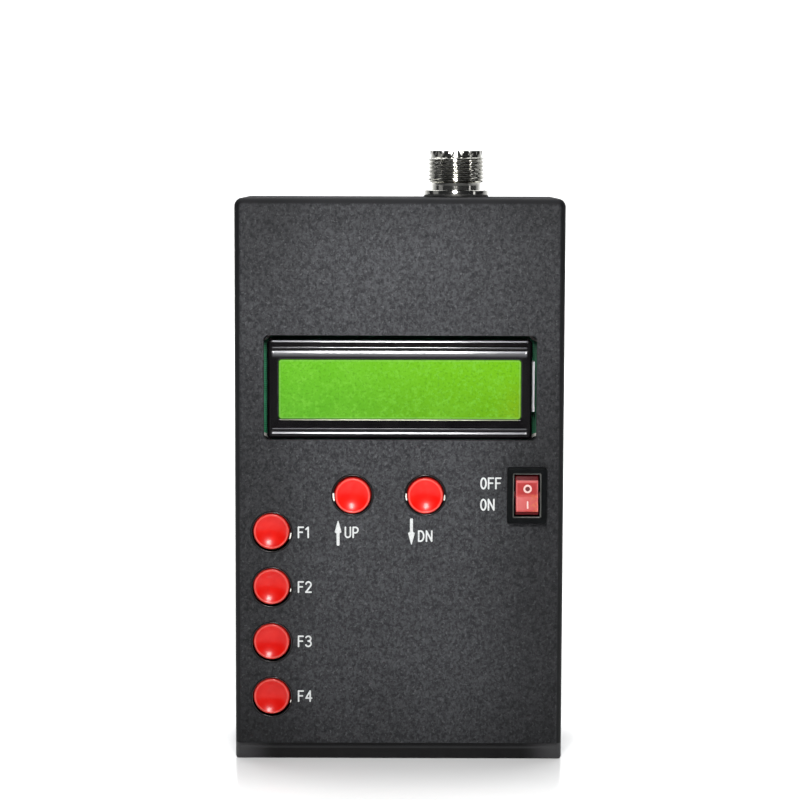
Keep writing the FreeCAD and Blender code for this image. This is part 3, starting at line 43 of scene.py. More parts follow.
# ------------------------------------------------------------------ shader building
class Wire:
    """A value on a shader wire, with arithmetic on it."""

    def __init__(self, shader, socket):
        self.shader, self.socket = shader, socket

    def _two(self, operation, other, swap=False):
        a, b = (other, self) if swap else (self, other)
        return self.shader.math(operation, a, b)

    def __add__(self, o):
        return self._two("ADD", o)

    def __radd__(self, o):
        return self._two("ADD", o)

    def __sub__(self, o):
        return self._two("SUBTRACT", o)

    def __rsub__(self, o):
        return self._two("SUBTRACT", o, True)

    def __mul__(self, o):
        return self._two("MULTIPLY", o)

    def __rmul__(self, o):
        return self._two("MULTIPLY", o)

    def __truediv__(self, o):
        return self._two("DIVIDE", o)

    def abs(self):
        return self.shader.math("ABSOLUTE", self)

    def step(self, low, high, at_low=0.0, at_high=1.0):
        """at_low below low and at_high above high, smooth between them."""
        return self.shader.remap(self, low, high, at_low, at_high)


class Shader:
    """A Principled material. Its coordinates are the row frame's, in millimetres."""

    def __init__(self, name, colour=(0.5, 0.5, 0.5), rough=0.5, metal=0.0, **sockets):
        self.mat = bpy.data.materials.new(name)
        self.mat.use_nodes = True
        self.tree = self.mat.node_tree
        self.tree.nodes.clear()
        out = self.tree.nodes.new("ShaderNodeOutputMaterial")
        self.bsdf = self.tree.nodes.new("ShaderNodeBsdfPrincipled")
        self.tree.links.new(self.bsdf.outputs["BSDF"], out.inputs["Surface"])
        self.bsdf.inputs["Base Color"].default_value = (*colour, 1.0)
        self.bsdf.inputs["Roughness"].default_value = rough
        self.bsdf.inputs["Metallic"].default_value = metal
        for word, value in sockets.items():
            self.bsdf.inputs[word.replace("_", " ")].default_value = value
        texco = self.tree.nodes.new("ShaderNodeTexCoord")
        scale = self.tree.nodes.new("ShaderNodeVectorMath")
        scale.operation = "SCALE"
        scale.inputs["Scale"].default_value = 1000.0
        self.tree.links.new(texco.outputs["Object"], scale.inputs[0])
        self.mm = scale.outputs["Vector"]
        self.normal_out = texco.outputs["Normal"]
        self._xyz = None

    def wire(self, socket):
        return Wire(self, socket)

    def put(self, value, socket):
        if isinstance(value, Wire):
            self.tree.links.new(value.socket, socket)
        elif isinstance(value, bpy.types.NodeSocket):
            self.tree.links.new(value, socket)
        elif isinstance(value, (tuple, list)) and len(value) == 3 and socket.type == "RGBA":
            socket.default_value = (*value, 1.0)
        else:
            socket.default_value = value

    def math(self, operation, a, b=None, clamp=False):
        n = self.tree.nodes.new("ShaderNodeMath")
        n.operation = operation
        n.use_clamp = clamp
        self.put(a, n.inputs[0])
        if b is not None:
            self.put(b, n.inputs[1])
        return self.wire(n.outputs[0])

    def remap(self, value, low, high, at_low=0.0, at_high=1.0, kind="SMOOTHSTEP"):
        n = self.tree.nodes.new("ShaderNodeMapRange")
        n.interpolation_type = kind
        self.put(value, n.inputs["Value"])
        for word, v in (("From Min", low), ("From Max", high), ("To Min", at_low), ("To Max", at_high)):
            n.inputs[word].default_value = v
        return self.wire(n.outputs["Result"])

    def xyz(self):
        if self._xyz is None:
            n = self.tree.nodes.new("ShaderNodeSeparateXYZ")
            self.tree.links.new(self.mm, n.inputs[0])
            self._xyz = [self.wire(n.outputs[i]) for i in range(3)]
        return self._xyz

    def nearest(self, spots):
        """Distance, across the face, to the nearest of some (x, z) spots."""
        x, y, z = self.xyz()
        flat = self.tree.nodes.new("ShaderNodeCombineXYZ")
        self.put(x, flat.inputs[0])
        self.put(z, flat.inputs[2])
        best = None
        for cx, cz in spots:
            n = self.tree.nodes.new("ShaderNodeVectorMath")
            n.operation = "DISTANCE"
            self.tree.links.new(flat.outputs[0], n.inputs[0])
            n.inputs[1].default_value = (cx, 0.0, cz)
            here = self.wire(n.outputs["Value"])
            best = here if best is None else self.math("MINIMUM", best, here)
        return best

    def facing(self):
        """The surface's own normal, by component, without any bump."""
        n = self.tree.nodes.new("ShaderNodeSeparateXYZ")
        self.tree.links.new(self.normal_out, n.inputs[0])
        return [self.wire(n.outputs[i]) for i in range(3)]

    def point(self, stretch=(1, 1, 1), shift=(0, 0, 0)):
        n = self.tree.nodes.new("ShaderNodeMapping")
        self.tree.links.new(self.mm, n.inputs["Vector"])
        n.inputs["Scale"].default_value = stretch
        n.inputs["Location"].default_value = shift
        return n.outputs["Vector"]

    def noise(self, scale, detail=2.0, rough=0.5, stretch=(1, 1, 1), shift=(0, 0, 0), warp=0.0):
        n = self.tree.nodes.new("ShaderNodeTexNoise")
        self.tree.links.new(self.point(stretch, shift), n.inputs["Vector"])
        n.inputs["Scale"].default_value = scale
        n.inputs["Detail"].default_value = detail
        n.inputs["Roughness"].default_value = rough
        n.inputs["Distortion"].default_value = warp
        return self.wire(n.outputs["Fac"])

    def cells(self, scale, stretch=(1, 1, 1), shift=(0, 0, 0), feature="F1", rand=1.0, output="Distance"):
        n = self.tree.nodes.new("ShaderNodeTexVoronoi")
        n.feature = feature
        self.tree.links.new(self.point(stretch, shift), n.inputs["Vector"])
        n.inputs["Scale"].default_value = scale
        n.inputs["Randomness"].default_value = rand
        return self.wire(n.outputs[output])

    def bands(self, scale, axis="X", warp=0.0, profile="SIN", stretch=(1, 1, 1)):
        n = self.tree.nodes.new("ShaderNodeTexWave")
        n.bands_direction = axis
        n.wave_profile = profile
        self.tree.links.new(self.point(stretch), n.inputs["Vector"])
        n.inputs["Scale"].default_value = scale
        n.inputs["Distortion"].default_value = warp
        return self.wire(n.outputs["Fac"])

    def mix(self, factor, a, b):
        n = self.tree.nodes.new("ShaderNodeMix")
        n.data_type = "RGBA"
        self.put(factor, n.inputs[0])
        self.put(a, n.inputs[6])
        self.put(b, n.inputs[7])
        return self.wire(n.outputs[2])

    def bump(self, height, distance, strength=1.0, under=None):
        """distance is how far a height of 1 stands, in millimetres."""
        n = self.tree.nodes.new("ShaderNodeBump")
        n.inputs["Strength"].default_value = strength
        n.inputs["Distance"].default_value = distance * MM
        self.put(height, n.inputs["Height"])
        if under is not None:
            self.tree.links.new(under.socket, n.inputs["Normal"])
        return self.wire(n.outputs["Normal"])

    def set(self, **wires):
        for word, value in wires.items():
            self.put(value, self.bsdf.inputs[word.replace("_", " ")])
        return self


# ------------------------------------------------------------------ materials
HOLES = [(-12.45, 71.82), (7.0, 71.82)] + [(-34.13, 16.90 + 14.95 * k) for k in range(4)]
CAPS = [(-12.45, 71.62), (7.0, 71.62)] + [(-34.23, 17.05 + 14.95 * k) for k in range(4)]


def case_plastic():
    """Charcoal ABS: spark-eroded texture on the flats, plain moulded surface on the rounded edges and the lower
    lip, and a burnished ring where each key hole was cut."""
    s = Shader("charcoal_case", rough=0.5, Specular_IOR_Level=0.16)
    x, y, z = s.xyz()
    nx, ny, nz = s.facing()
    a = ny.abs()
    flat = s.math("MAXIMUM", a.step(0.90, 0.9997), 1.0 - a.step(0.03, 0.16))
    lip = s.math("MAXIMUM", z.step(4.25, 4.5), y.step(-6.2, -5.8))
    hole = s.nearest(HOLES).step(5.45, 5.75)
    hole = s.math("MAXIMUM", hole, y.step(-19.2, -18.8))
    textured = flat * lip * hole
    grain = s.noise(1.18, 2.0, 0.62)
    fine = s.noise(2.2, 2.0, 0.6, shift=(11, 3, 5))
    coarse = s.noise(0.40, 2.0, 0.55, shift=(13, 5, 2))
    worms = s.noise(1.02, 2.0, 0.5, stretch=(1.0, 1.0, 0.72), shift=(5, 17, 29), warp=1.2)
    fleck = s.noise(1.15, 2.0, 0.5, shift=(31, 7, 19)).step(0.585, 0.70)
    pit = s.noise(1.05, 2.0, 0.5, shift=(3, 41, 9)).step(0.42, 0.31)
    broad = s.noise(0.035, 3.0, 0.5)
    tone = grain * 0.42 + fine * 0.18 + worms * 0.40
    skin = s.mix(tone.step(0.36, 0.64), (0.0215, 0.0222, 0.0250), (0.0660, 0.0680, 0.0735))
    skin = s.mix(fleck * 0.55, skin, (0.125, 0.128, 0.135))
    skin = s.mix(pit * 0.60, skin, (0.0130, 0.0135, 0.0155))
    plain = s.mix(broad.step(0.35, 0.65), (0.0125, 0.0128, 0.0142), (0.0160, 0.0164, 0.0180))
    # painted shade: the plain surface is darker where it faces sideways
    plain = s.mix(nx.abs().step(0.08, 0.60), plain, (0.0040, 0.0042, 0.0050))
    # the glossy lip: near black; the paler line under its edge and its paler ends are painted highlights
    line = z.step(2.85, 3.10) * z.step(3.45, 3.65, 1.0, 0.0)
    ends = x.abs().step(33.0, 42.0)
    gloss = s.mix(z.step(3.45, 3.65), (0.0018, 0.0018, 0.0021), (0.0085, 0.0086, 0.0094))
    gloss = s.mix(line * 0.85, gloss, (0.0230, 0.0232, 0.0245))
    gloss = s.mix(ends * 0.85, gloss, (0.0520, 0.0520, 0.0545))
    plain = s.mix(lip, gloss, plain)
    plain = s.mix(hole, (0.0120, 0.0122, 0.0135), plain)
    # painted shade: the textured flats darken towards the case's sides, top and bottom, for a fall-off of light that
    # the lamps alone don't give; part of the photo's fall-off of light towards the case's edges, which the lamps
    # alone don't give
    painted_falloff = 1.0 - x.abs().step(11.0, 43.0) * z.step(85.0, 125.0, 0.50, 0.25)
    painted_falloff = painted_falloff * z.step(1.0, 30.0, 0.66, 1.0) * z.step(133.0, 151.0, 1.0, 0.70)
    tint = painted_falloff * textured + (1.0 - textured)
    shade = s.tree.nodes.new("ShaderNodeHueSaturation")
    s.put(s.mix(textured, plain, skin), shade.inputs["Color"])
    s.put(broad.step(0.32, 0.68, 0.92, 1.08) * tint, shade.inputs["Value"])
    rough = 0.44 + broad * 0.06 + textured * (0.16 + grain * 0.14) - (1.0 - hole) * 0.24 - (1.0 - lip) * 0.10 + nz.step(0.15, 0.75) * 0.20
    height = (grain * 0.45 + coarse * 0.25 + worms * 0.35 + fine * 0.2 + pit * -0.40 + fleck * 0.30) * textured
    handled = s.noise(0.35, 2.0, 0.5, shift=(9, 9, 9)) * (1.0 - textured)
    normal = s.bump(height, 0.15, 1.0, s.bump(handled, 0.02, 0.2))
    s.set(Base_Color=s.wire(shade.outputs["Color"]), Roughness=rough, Normal=normal)
    return s.mat


def black_enamel():
    """Gloss black enamel on the display's stamped steel bezel."""
    s = Shader("bezel_enamel", rough=0.2, Specular_IOR_Level=0.40, Coat_Weight=0.25, Coat_Roughness=0.06)
    peel = s.noise(0.9, 2.0, 0.5)
    dust = s.cells(2.4, shift=(4, 4, 4)).step(0.02, 0.07, 1.0, 0.0)
    wear = s.noise(0.22, 4.0, 0.6, shift=(8, 2, 3))
    colour = s.mix(dust * 0.5, s.mix(wear.step(0.3, 0.7), (0.0020, 0.0017, 0.0022), (0.0044, 0.0038, 0.0046)), (0.06, 0.06, 0.066))
    # painted highlights: part of the bright lines along the pressed edges is painted here as paler enamel; the rest
    # comes from reflections on the pressed shape
    x, y, z = s.xyz()
    inside = x.abs().step(33.6, 34.3, 1.0, 0.0)
    painted_edge_lines = (z.step(109.80, 109.90) * z.step(110.22, 110.34, 1.0, 0.0) + z.step(88.00, 88.10) * z.step(88.50, 88.64, 1.0, 0.0)
              + z.step(112.62, 112.74) * z.step(113.00, 113.14, 1.0, 0.0)) * 0.75
    painted_edge_lines = painted_edge_lines + (z.step(111.10, 111.16) * z.step(111.28, 111.36, 1.0, 0.0) + z.step(89.35, 89.41) * z.step(89.53, 89.61, 1.0, 0.0)) * 0.40
    painted_edge_lines = painted_edge_lines + z.step(108.30, 109.80) * z.step(109.85, 109.95, 1.0, 0.0) * 0.32
    colour = s.mix(painted_edge_lines * inside, colour, (0.330, 0.335, 0.365))
    # painted highlight: the bright line along the lip at the foot of the view, also as paler enamel
    painted_foot_line = z.step(91.70, 91.76) * z.step(91.96, 92.02, 1.0, 0.0) * x.step(-31.0, -14.0, 0.35, 1.0) * x.step(8.0, 30.0, 1.0, 0.45)
    painted_foot_line = painted_foot_line * x.abs().step(31.6, 31.9, 1.0, 0.0)
    colour = s.mix(painted_foot_line * 0.85, colour, (0.62, 0.68, 0.42))
    s.set(Base_Color=colour, Roughness=0.12 + wear * 0.10, Normal=s.bump(peel, 0.006, 0.25))
    return s.mat


def display_cell():
    """Yellow-green reflective display cell behind its polarizer."""
    s = Shader("display_cell", rough=0.2, Specular_IOR_Level=0.4, Coat_Weight=0.3, Coat_Roughness=0.05)
    x, y, z = s.xyz()
    u = (x - 0.1).abs() - 31.55
    v = (z - 100.0).abs() - 7.15
    du, dv = s.math("MAXIMUM", u, 0.0), s.math("MAXIMUM", v, 0.0)
    rim = s.math("SQRT", du * du + dv * dv) + s.math("MINIMUM", s.math("MAXIMUM", u, v), 0.0) - 0.7
    # painted highlight: a pale line just inside the cell's border
    pale = rim.step(-0.50, -0.28) * rim.step(-0.08, 0.02, 1.0, 0.0)
    seal = rim.step(-0.02, 0.08)
    across = x.step(-33.0, 33.0)
    corner = x.step(24.0, 33.0) * z.step(106.0, 92.5)
    # painted light: the cell's colour is brighter towards the top
    up = z.step(91.0, 109.0)
    left = s.mix(up, (0.076, 0.300, 0.012), (0.098, 0.352, 0.011))
    right = s.mix(up, (0.102, 0.292, 0.003), (0.122, 0.362, 0.004))
    base = s.mix(corner * 0.55, s.mix(across, left, right), (0.170, 0.272, 0.001))
    mottle = s.noise(0.95, 3.0, 0.62)
    cloud = s.noise(0.16, 2.0, 0.5, shift=(7, 1, 7))
    speck = s.noise(1.45, 2.0, 0.6, shift=(3, 3, 3))
    lighter = s.mix(mottle.step(0.46, 0.70) * 0.40 + cloud.step(0.4, 0.7) * 0.12, base, (0.165, 0.455, 0.036))
    darker = s.mix(speck.step(0.50, 0.32) * 0.42, lighter, (0.044, 0.190, 0.005))
    edge = s.mix(pale * 0.22, darker, (0.24, 0.50, 0.12))
    colour = s.mix(seal, edge, (0.012, 0.048, 0.005))
    s.set(Base_Color=colour, Roughness=0.16 + mottle * 0.12, Normal=s.bump(speck, 0.01, 0.3))
    s.put(colour, s.bsdf.inputs["Emission Color"])
    s.bsdf.inputs["Emission Strength"].default_value = 0.15
    return s.mat


def display_board():
    """The display's own board: its green mask shows beside the bezel."""
    s = Shader("display_board", rough=0.35, Specular_IOR_Level=0.5, Coat_Weight=0.2, Coat_Roughness=0.2)
    x, y, z = s.xyz()
    weave = s.bands(1.1, "X") * s.bands(1.1, "Z")
    cloud = s.noise(0.35, 3.0)
    track = s.bands(0.55, "Z", 0.6).step(0.70, 0.80)
    mask = s.mix(cloud.step(0.3, 0.7), (0.020, 0.22, 0.095), (0.035, 0.33, 0.150))
    mask = s.mix(track * 0.6, mask, (0.060, 0.46, 0.22))
    pad = s.nearest([(0.1 + sx * 37.5, 100.0 + sz * 15.5) for sx in (-1, 1) for sz in (-1, 1)])
    tin = pad.step(3.2, 3.1)
    # painted shade: the board's outer strip, shadowed by the case wall, is darkened
    outer = x.step(36.25, 36.45) * y.step(-9.75, -9.82)
    mask = s.mix(outer * 0.85, mask, (0.010, 0.035, 0.022))
    s.set(Base_Color=s.mix(tin, mask, (0.70, 0.70, 0.66)), Roughness=0.32 + cloud * 0.1, Normal=s.bump(track + weave * 0.2, 0.035, 0.8))
    return s.mat


def glossy_red():
    """Polished red acrylic of the key caps, with a painted highlight: a paler ring on the rim's thin crest."""
    s = Shader("key_cap_red", rough=0.3, Specular_IOR_Level=0.20, Coat_Weight=0.28, Coat_Roughness=0.19,
               Subsurface_Weight=0.08, Subsurface_Scale=0.0015, Subsurface_Radius=(1.0, 0.15, 0.08))
    x, y, z = s.xyz()
    cloud = s.noise(0.35, 3.0, 0.55)
    hair = s.noise(1.6, 2.0, 0.5, stretch=(1.0, 1.0, 6.0), shift=(2, 7, 1))
    crest_patchiness = s.noise(0.7, 2.0, 0.5, shift=(8, 8, 8))
    colour = s.mix(cloud.step(0.3, 0.7), (0.86, 0.004, 0.001), (0.92, 0.009, 0.003))
    out = s.nearest(CAPS)
    # painted highlight: the rim's crest is paler
    crest = y.step(-19.74, -19.87) * (0.38 + crest_patchiness * 0.28)
    colour = s.mix(crest, colour, (0.90, 0.17, 0.14))
    # painted shade: all caps are darkened a little, the four on the left more, and more so lower down, for a fall-off
    # of light; the photo's light falls off over the four caps on the left: part of that is carried here
    painted_falloff_node = s.tree.nodes.new("ShaderNodeHueSaturation")
    s.put(colour, painted_falloff_node.inputs["Color"])
    s.put(z.step(0.0, 75.0, 0.84, 0.88) * x.step(-30.0, -18.0, 0.83, 1.0), painted_falloff_node.inputs["Value"])
    colour = s.wire(painted_falloff_node.outputs["Color"])
    # painted shade: the cap's side, down in the hole, is a darker red
    skirt = out.step(4.68, 4.79)
    colour = s.mix(skirt * 0.85, colour, (0.66, 0.020, 0.016))
    s.set(Base_Color=colour, Roughness=0.28 + hair * 0.10, Normal=s.bump(hair, 0.004, 0.25))
    return s.mat


def rocker_red(name="rocker_red", deep=False):
    """Translucent red polycarbonate of the rocker. Painted light: the lower half, which faces the light, is paler and
    warmer than the upper; the side and top edges carry paler painted highlights and the outermost sides a dark painted
    shade; the skirt is painted deep red as shade.
    """
    s = Shader(name, rough=0.4, Specular_IOR_Level=0.2, Subsurface_Weight=0.25, Subsurface_Scale=0.002,
               Subsurface_Radius=(1.0, 0.25, 0.18))
    x, y, z = s.xyz()
    cloud = s.noise(0.75, 3.0, 0.6)
    warm = s.noise(1.1, 2.0, 0.5, shift=(4, 8, 2))
    if deep:
        # painted shade: the skirt is a deep red throughout
        face = s.mix(cloud.step(0.3, 0.7), (0.085, 0.002, 0.004), (0.125, 0.004, 0.007))
    else:
        # painted light: the lower half, which faces the light, is paler than the upper, and warmer on its right
        upper = z.step(71.75, 72.75)
        face = s.mix(upper, (0.53, 0.076, 0.072), (0.36, 0.032, 0.033))
        face = s.mix(cloud.step(0.3, 0.7) * 0.40, face, (0.47, 0.058, 0.056))
        face = s.mix(warm.step(0.45, 0.7) * x.step(33.9, 36.4) * (1.0 - upper) * 0.7, face, (0.60, 0.175, 0.045))
        # painted highlights: paler side and top edges
        side = (x - 34.1).abs().step(2.50, 2.74)
        top = z.step(75.35, 75.60)
        face = s.mix(s.math("MAXIMUM", side, top) * 0.45, face, (0.74, 0.24, 0.24))
        # painted shade: the outermost sides are a near-black red
        edge = (x - 34.1).abs().step(2.84, 2.93)
        face = s.mix(edge * 0.85, face, (0.13, 0.004, 0.008))
    s.set(Base_Color=face, Roughness=0.34 + cloud * 0.12, Normal=s.bump(warm, 0.02, 0.3))
    return s.mat


def switch_black():
    s = Shader("switch_black", rough=0.5, Specular_IOR_Level=0.08)
    grain = s.noise(4.5, 2.0, 0.6)
    cloud = s.noise(0.5, 2.0, 0.5)
    colour = s.mix(cloud.step(0.3, 0.7), (0.0016, 0.0022, 0.0025), (0.0034, 0.0042, 0.0047))
    s.set(Base_Color=colour, Roughness=0.38 + grain * 0.15, Normal=s.bump(grain, 0.015, 0.4))
    return s.mat


def ink(name, colour):
    """Screen-printed ink: slightly uneven, thin enough to show the grain under it."""
    s = Shader(name, rough=0.5, Specular_IOR_Level=0.35)
    grain = s.noise(1.9, 3.0, 0.62)
    thin = s.noise(2.8, 2.0, 0.6, shift=(6, 6, 6)).step(0.30, 0.52)
    low = tuple(c * 0.80 for c in colour)
    s.set(Base_Color=s.mix(thin, low, colour), Roughness=0.42 + grain * 0.2, Normal=s.bump(grain, 0.05, 0.35))
    return s.mat


def plated_metal(name, colour, rough=0.14, wear=0.5, tarnish=None, turned=None, pitch=0.09, relief=0.4):
    """Plated or bare metal: fine scratches, clouded polish and, on a turned piece, the tool's rings."""
    s = Shader(name, metal=1.0, rough=rough, Specular_IOR_Level=0.5)
    cloud = s.noise(0.28, 4.0, 0.6)
    scratch = s.noise(1.4, 3.0, 0.7, stretch=(1.0, 1.0, 9.0), shift=(2, 2, 2))
    pit = s.cells(1.7, shift=(7, 7, 7)).step(0.03, 0.10, 1.0, 0.0)
    dull = tarnish or tuple(c * 0.62 for c in colour)
    base = s.mix(cloud.step(0.35, 0.75) * wear, colour, dull)
    base = s.mix(pit * wear * 0.8, base, tuple(c * 0.35 for c in colour))
    height = scratch * 0.6 + pit * -0.6
    if turned:
        height = height + s.bands(1.0 / pitch / 20.0 * TAU, turned, 0.0) * 0.5
    s.set(Base_Color=base, Roughness=rough + cloud * 0.16 * wear + scratch * 0.06, Normal=s.bump(height, 0.008, relief))
    return s.mat


def moulded(name, dark, light, rough=0.5, grain_size=3.5, depth=0.02, **sockets):
    """Moulded plastic or rubber: clouded colour, fine grain, flow marks."""
    s = Shader(name, rough=rough, **sockets)
    grain = s.noise(grain_size, 2.0, 0.6)
    cloud = s.noise(0.25, 3.0, 0.55)
    flow = s.noise(0.6, 2.0, 0.5, stretch=(1.0, 1.0, 0.2), shift=(5, 5, 5))
    s.set(Base_Color=s.mix(cloud.step(0.3, 0.7), dark, light), Roughness=(rough - 0.08) + grain * 0.12 + flow * 0.05,
          Normal=s.bump(grain + flow * 0.5, depth, 0.4))
    return s.mat


def circuit_board():
    """Green solder mask over copper tracks, with tinned pads."""
    s = Shader("circuit_board", rough=0.35, Specular_IOR_Level=0.5, Coat_Weight=0.3, Coat_Roughness=0.2)
    x, y, z = s.xyz()
    across = s.bands(0.36, "X", 0.0, "SIN").step(0.72, 0.80)
    along = s.bands(0.30, "Z", 0.0, "SIN").step(0.72, 0.80)
    area = s.cells(0.075, rand=1.0, output="Color").step(0.45, 0.5)
    tracks = s.math("MAXIMUM", across * area, along * (1.0 - area))
    pads = s.cells(0.32, rand=0.0).step(0.20, 0.24, 1.0, 0.0) * s.noise(0.12, 1.0).step(0.5, 0.56)
    weave = s.bands(1.1, "X") * s.bands(1.1, "Z")
    cloud = s.noise(0.1, 3.0)
    mask = s.mix(cloud.step(0.3, 0.7), (0.006, 0.085, 0.030), (0.010, 0.115, 0.042))
    mask = s.mix(weave * 0.15, mask, (0.02, 0.15, 0.06))
    mask = s.mix(tracks * 0.7, mask, (0.022, 0.20, 0.075))
    s.set(Base_Color=s.mix(pads, mask, (0.55, 0.54, 0.50)), Roughness=0.34 - pads * 0.1 + cloud * 0.08,
          Normal=s.bump(tracks * 0.7 + pads + weave * 0.1, 0.035, 0.8))
    return s.mat


def flat_cable():
    s = Shader("flat_cable", rough=0.4, Specular_IOR_Level=0.4)
    x, y, z = s.xyz()
    ridge = s.bands(TAU / 1.27 / 20.0, "X")
    first = x.step(-31.4, -31.0, 1.0, 0.0)
    cloud = s.noise(0.4, 3.0)
    grey = s.mix(ridge.step(0.2, 0.8), (0.19, 0.19, 0.20), (0.34, 0.34, 0.35))
    s.set(Base_Color=s.mix(first, grey, (0.45, 0.02, 0.02)), Roughness=0.34 + cloud * 0.14, Normal=s.bump(ridge, 0.18, 0.9))
    return s.mat


def insulated_wire(name, colour, split_at=None, other=None):
    s = Shader(name, rough=0.45, Specular_IOR_Level=0.4)
    x, y, z = s.xyz()
    twist = s.bands(0.35, "Z", 1.2)
    dust = s.noise(1.8, 3.0, 0.6)
    base = colour
    if other:
        base = s.mix(x.step(split_at - 0.05, split_at + 0.05), colour, other)
    dim = s.mix(dust.step(0.35, 0.75) * 0.25, base, (0.10, 0.10, 0.10))
    s.set(Base_Color=dim, Roughness=0.38 + dust * 0.16, Normal=s.bump(twist + dust * 0.4, 0.02, 0.5))
    return s.mat


def cell_sleeve():
    """Heat-shrunk sleeve of the cells, bare metal at their ends."""
    s = Shader("cell_sleeve", rough=0.25, Specular_IOR_Level=0.5, Coat_Weight=0.4, Coat_Roughness=0.1)
    x, y, z = s.xyz()
    ends = s.math("MAXIMUM", z.step(10.9, 11.1, 1.0, 0.0), z.step(74.9, 75.1))
    band = z.step(66.0, 66.3) * z.step(70.0, 70.3, 1.0, 0.0)
    wrinkle = s.noise(0.8, 4.0, 0.6, stretch=(1.0, 1.0, 0.25))
    sleeve = s.mix(wrinkle.step(0.3, 0.7), (0.010, 0.075, 0.190), (0.020, 0.110, 0.260))
    sleeve = s.mix(band, sleeve, (0.55, 0.56, 0.55))
    s.set(Base_Color=s.mix(ends, sleeve, (0.62, 0.61, 0.58)), Roughness=0.22 + wrinkle * 0.14, Metallic=ends,
          Normal=s.bump(wrinkle, 0.05, 0.5))
    return s.mat


def studio_paper():
    s = Shader("studio_paper", rough=0.25, Specular_IOR_Level=0.5)
    fibre = s.noise(0.02, 4.0, 0.6)
    x, y, z = s.xyz()
    # painted shadow: within the case's width, the floor's glow dims just in front of the case and rises a little
    # further out
    near = y.step(-66.0, -18.0, 0.17, -0.09) * y.step(-190.0, -90.0) * x.abs().step(46.0, 75.0, 1.0, 0.0) * y.step(0.0, 30.0, 1.0, 0.0)
    glow = y.step(-600.0, -150.0, 0.02, 0.24) + near
    s.set(Base_Color=s.mix(fibre.step(0.3, 0.7), (0.84, 0.845, 0.85), (0.86, 0.865, 0.87)), Roughness=0.20 + fibre * 0.05,
          Emission_Strength=glow)
    s.bsdf.inputs["Emission Color"].default_value = (1.0, 1.0, 1.0, 1.0)
    return s.mat


CASE = case_plastic()
ENAMEL = black_enamel()
DISPLAY = display_cell()
CAP_RED = glossy_red()
ROCKER_RED = rocker_red()
ROCKER_DEEP = rocker_red("rocker_skirt_red", True)
SWITCH_BLACK = switch_black()
WHITE_INK = ink("legend_ink", (0.66, 0.68, 0.68))
MARK_INK = ink("rocker_mark_ink", (0.80, 0.52, 0.49))
NICKEL = plated_metal("nickel_plate", (0.62, 0.615, 0.575), 0.06, 0.16, turned="Z", relief=0.08)
STEEL = plated_metal("screw_steel", (0.52, 0.52, 0.53), 0.24, 0.7)
BLACK_SCREW = plated_metal("screw_black_oxide", (0.10, 0.10, 0.11), 0.32, 0.7, tarnish=(0.16, 0.15, 0.14))
TIN = plated_metal("tinned_sheet", (0.66, 0.66, 0.64), 0.28, 0.8)
CONTACT = plated_metal("silvered_contact", (0.83, 0.72, 0.46), 0.20, 0.6, tarnish=(0.52, 0.40, 0.20), turned="Z")
CAN = plated_metal("capacitor_can", (0.62, 0.62, 0.64), 0.26, 0.5)
BOARD = circuit_board()
CABLE = flat_cable()
DISPLAY_BOARD = display_board()
# painted glints: a pale white for the marks at the key holes' edges
PAINTED_GLINT = moulded("painted_glint", (0.78, 0.74, 0.68), (0.92, 0.89, 0.84), 0.35, 3.0)
RIM_BLACK = moulded("burnished_rim", (0.0060, 0.0062, 0.0068), (0.0100, 0.0102, 0.0110), 0.22, 4.0, 0.004, Specular_IOR_Level=0.5)
# painted highlight: the grey of the bead round the rocker's mouth
MOUTH_HIGHLIGHT_GREY = moulded("rocker_mouth_painted_highlight", (0.060, 0.062, 0.056), (0.105, 0.108, 0.100), 0.38, 3.0)
DARK_INK = moulded("rocker_mark_ground", (0.10, 0.012, 0.012), (0.16, 0.02, 0.02), 0.5)
BLACK_PLASTIC = moulded("black_moulding", (0.012, 0.012, 0.013), (0.022, 0.022, 0.023), 0.5)
STEM_BLACK = moulded("stem_moulding", (0.016, 0.016, 0.018), (0.030, 0.030, 0.032), 0.45, 4.0)
WHITE_PLASTIC = moulded("white_moulding", (0.70, 0.68, 0.62), (0.78, 0.76, 0.71), 0.42)
LIGHT_GUIDE = moulded("light_guide", (0.80, 0.81, 0.84), (0.87, 0.88, 0.91), 0.35, 1.5, 0.03, Specular_IOR_Level=0.5)
RESIN = moulded("chip_resin", (0.010, 0.010, 0.010), (0.024, 0.023, 0.022), 0.38, 2.0, 0.05)
PTFE = moulded("ptfe_insulator", (0.72, 0.71, 0.67), (0.82, 0.81, 0.78), 0.38, 1.5, 0.02,
               Subsurface_Weight=0.15, Subsurface_Scale=0.002)
FOAM = moulded("foam_tape", (0.60, 0.60, 0.57), (0.74, 0.74, 0.71), 0.85, 2.6, 0.20)
WIRE_PAIR = insulated_wire("battery_lead_skin", (0.42, 0.012, 0.012), -22.5, (0.012, 0.012, 0.013))
WIRE_RED = insulated_wire("switch_lead_skin", (0.40, 0.012, 0.012))
WIRE_COAX = insulated_wire("pigtail_skin", (0.10, 0.040, 0.018))
CELL = cell_sleeve()
PAPER = studio_paper()

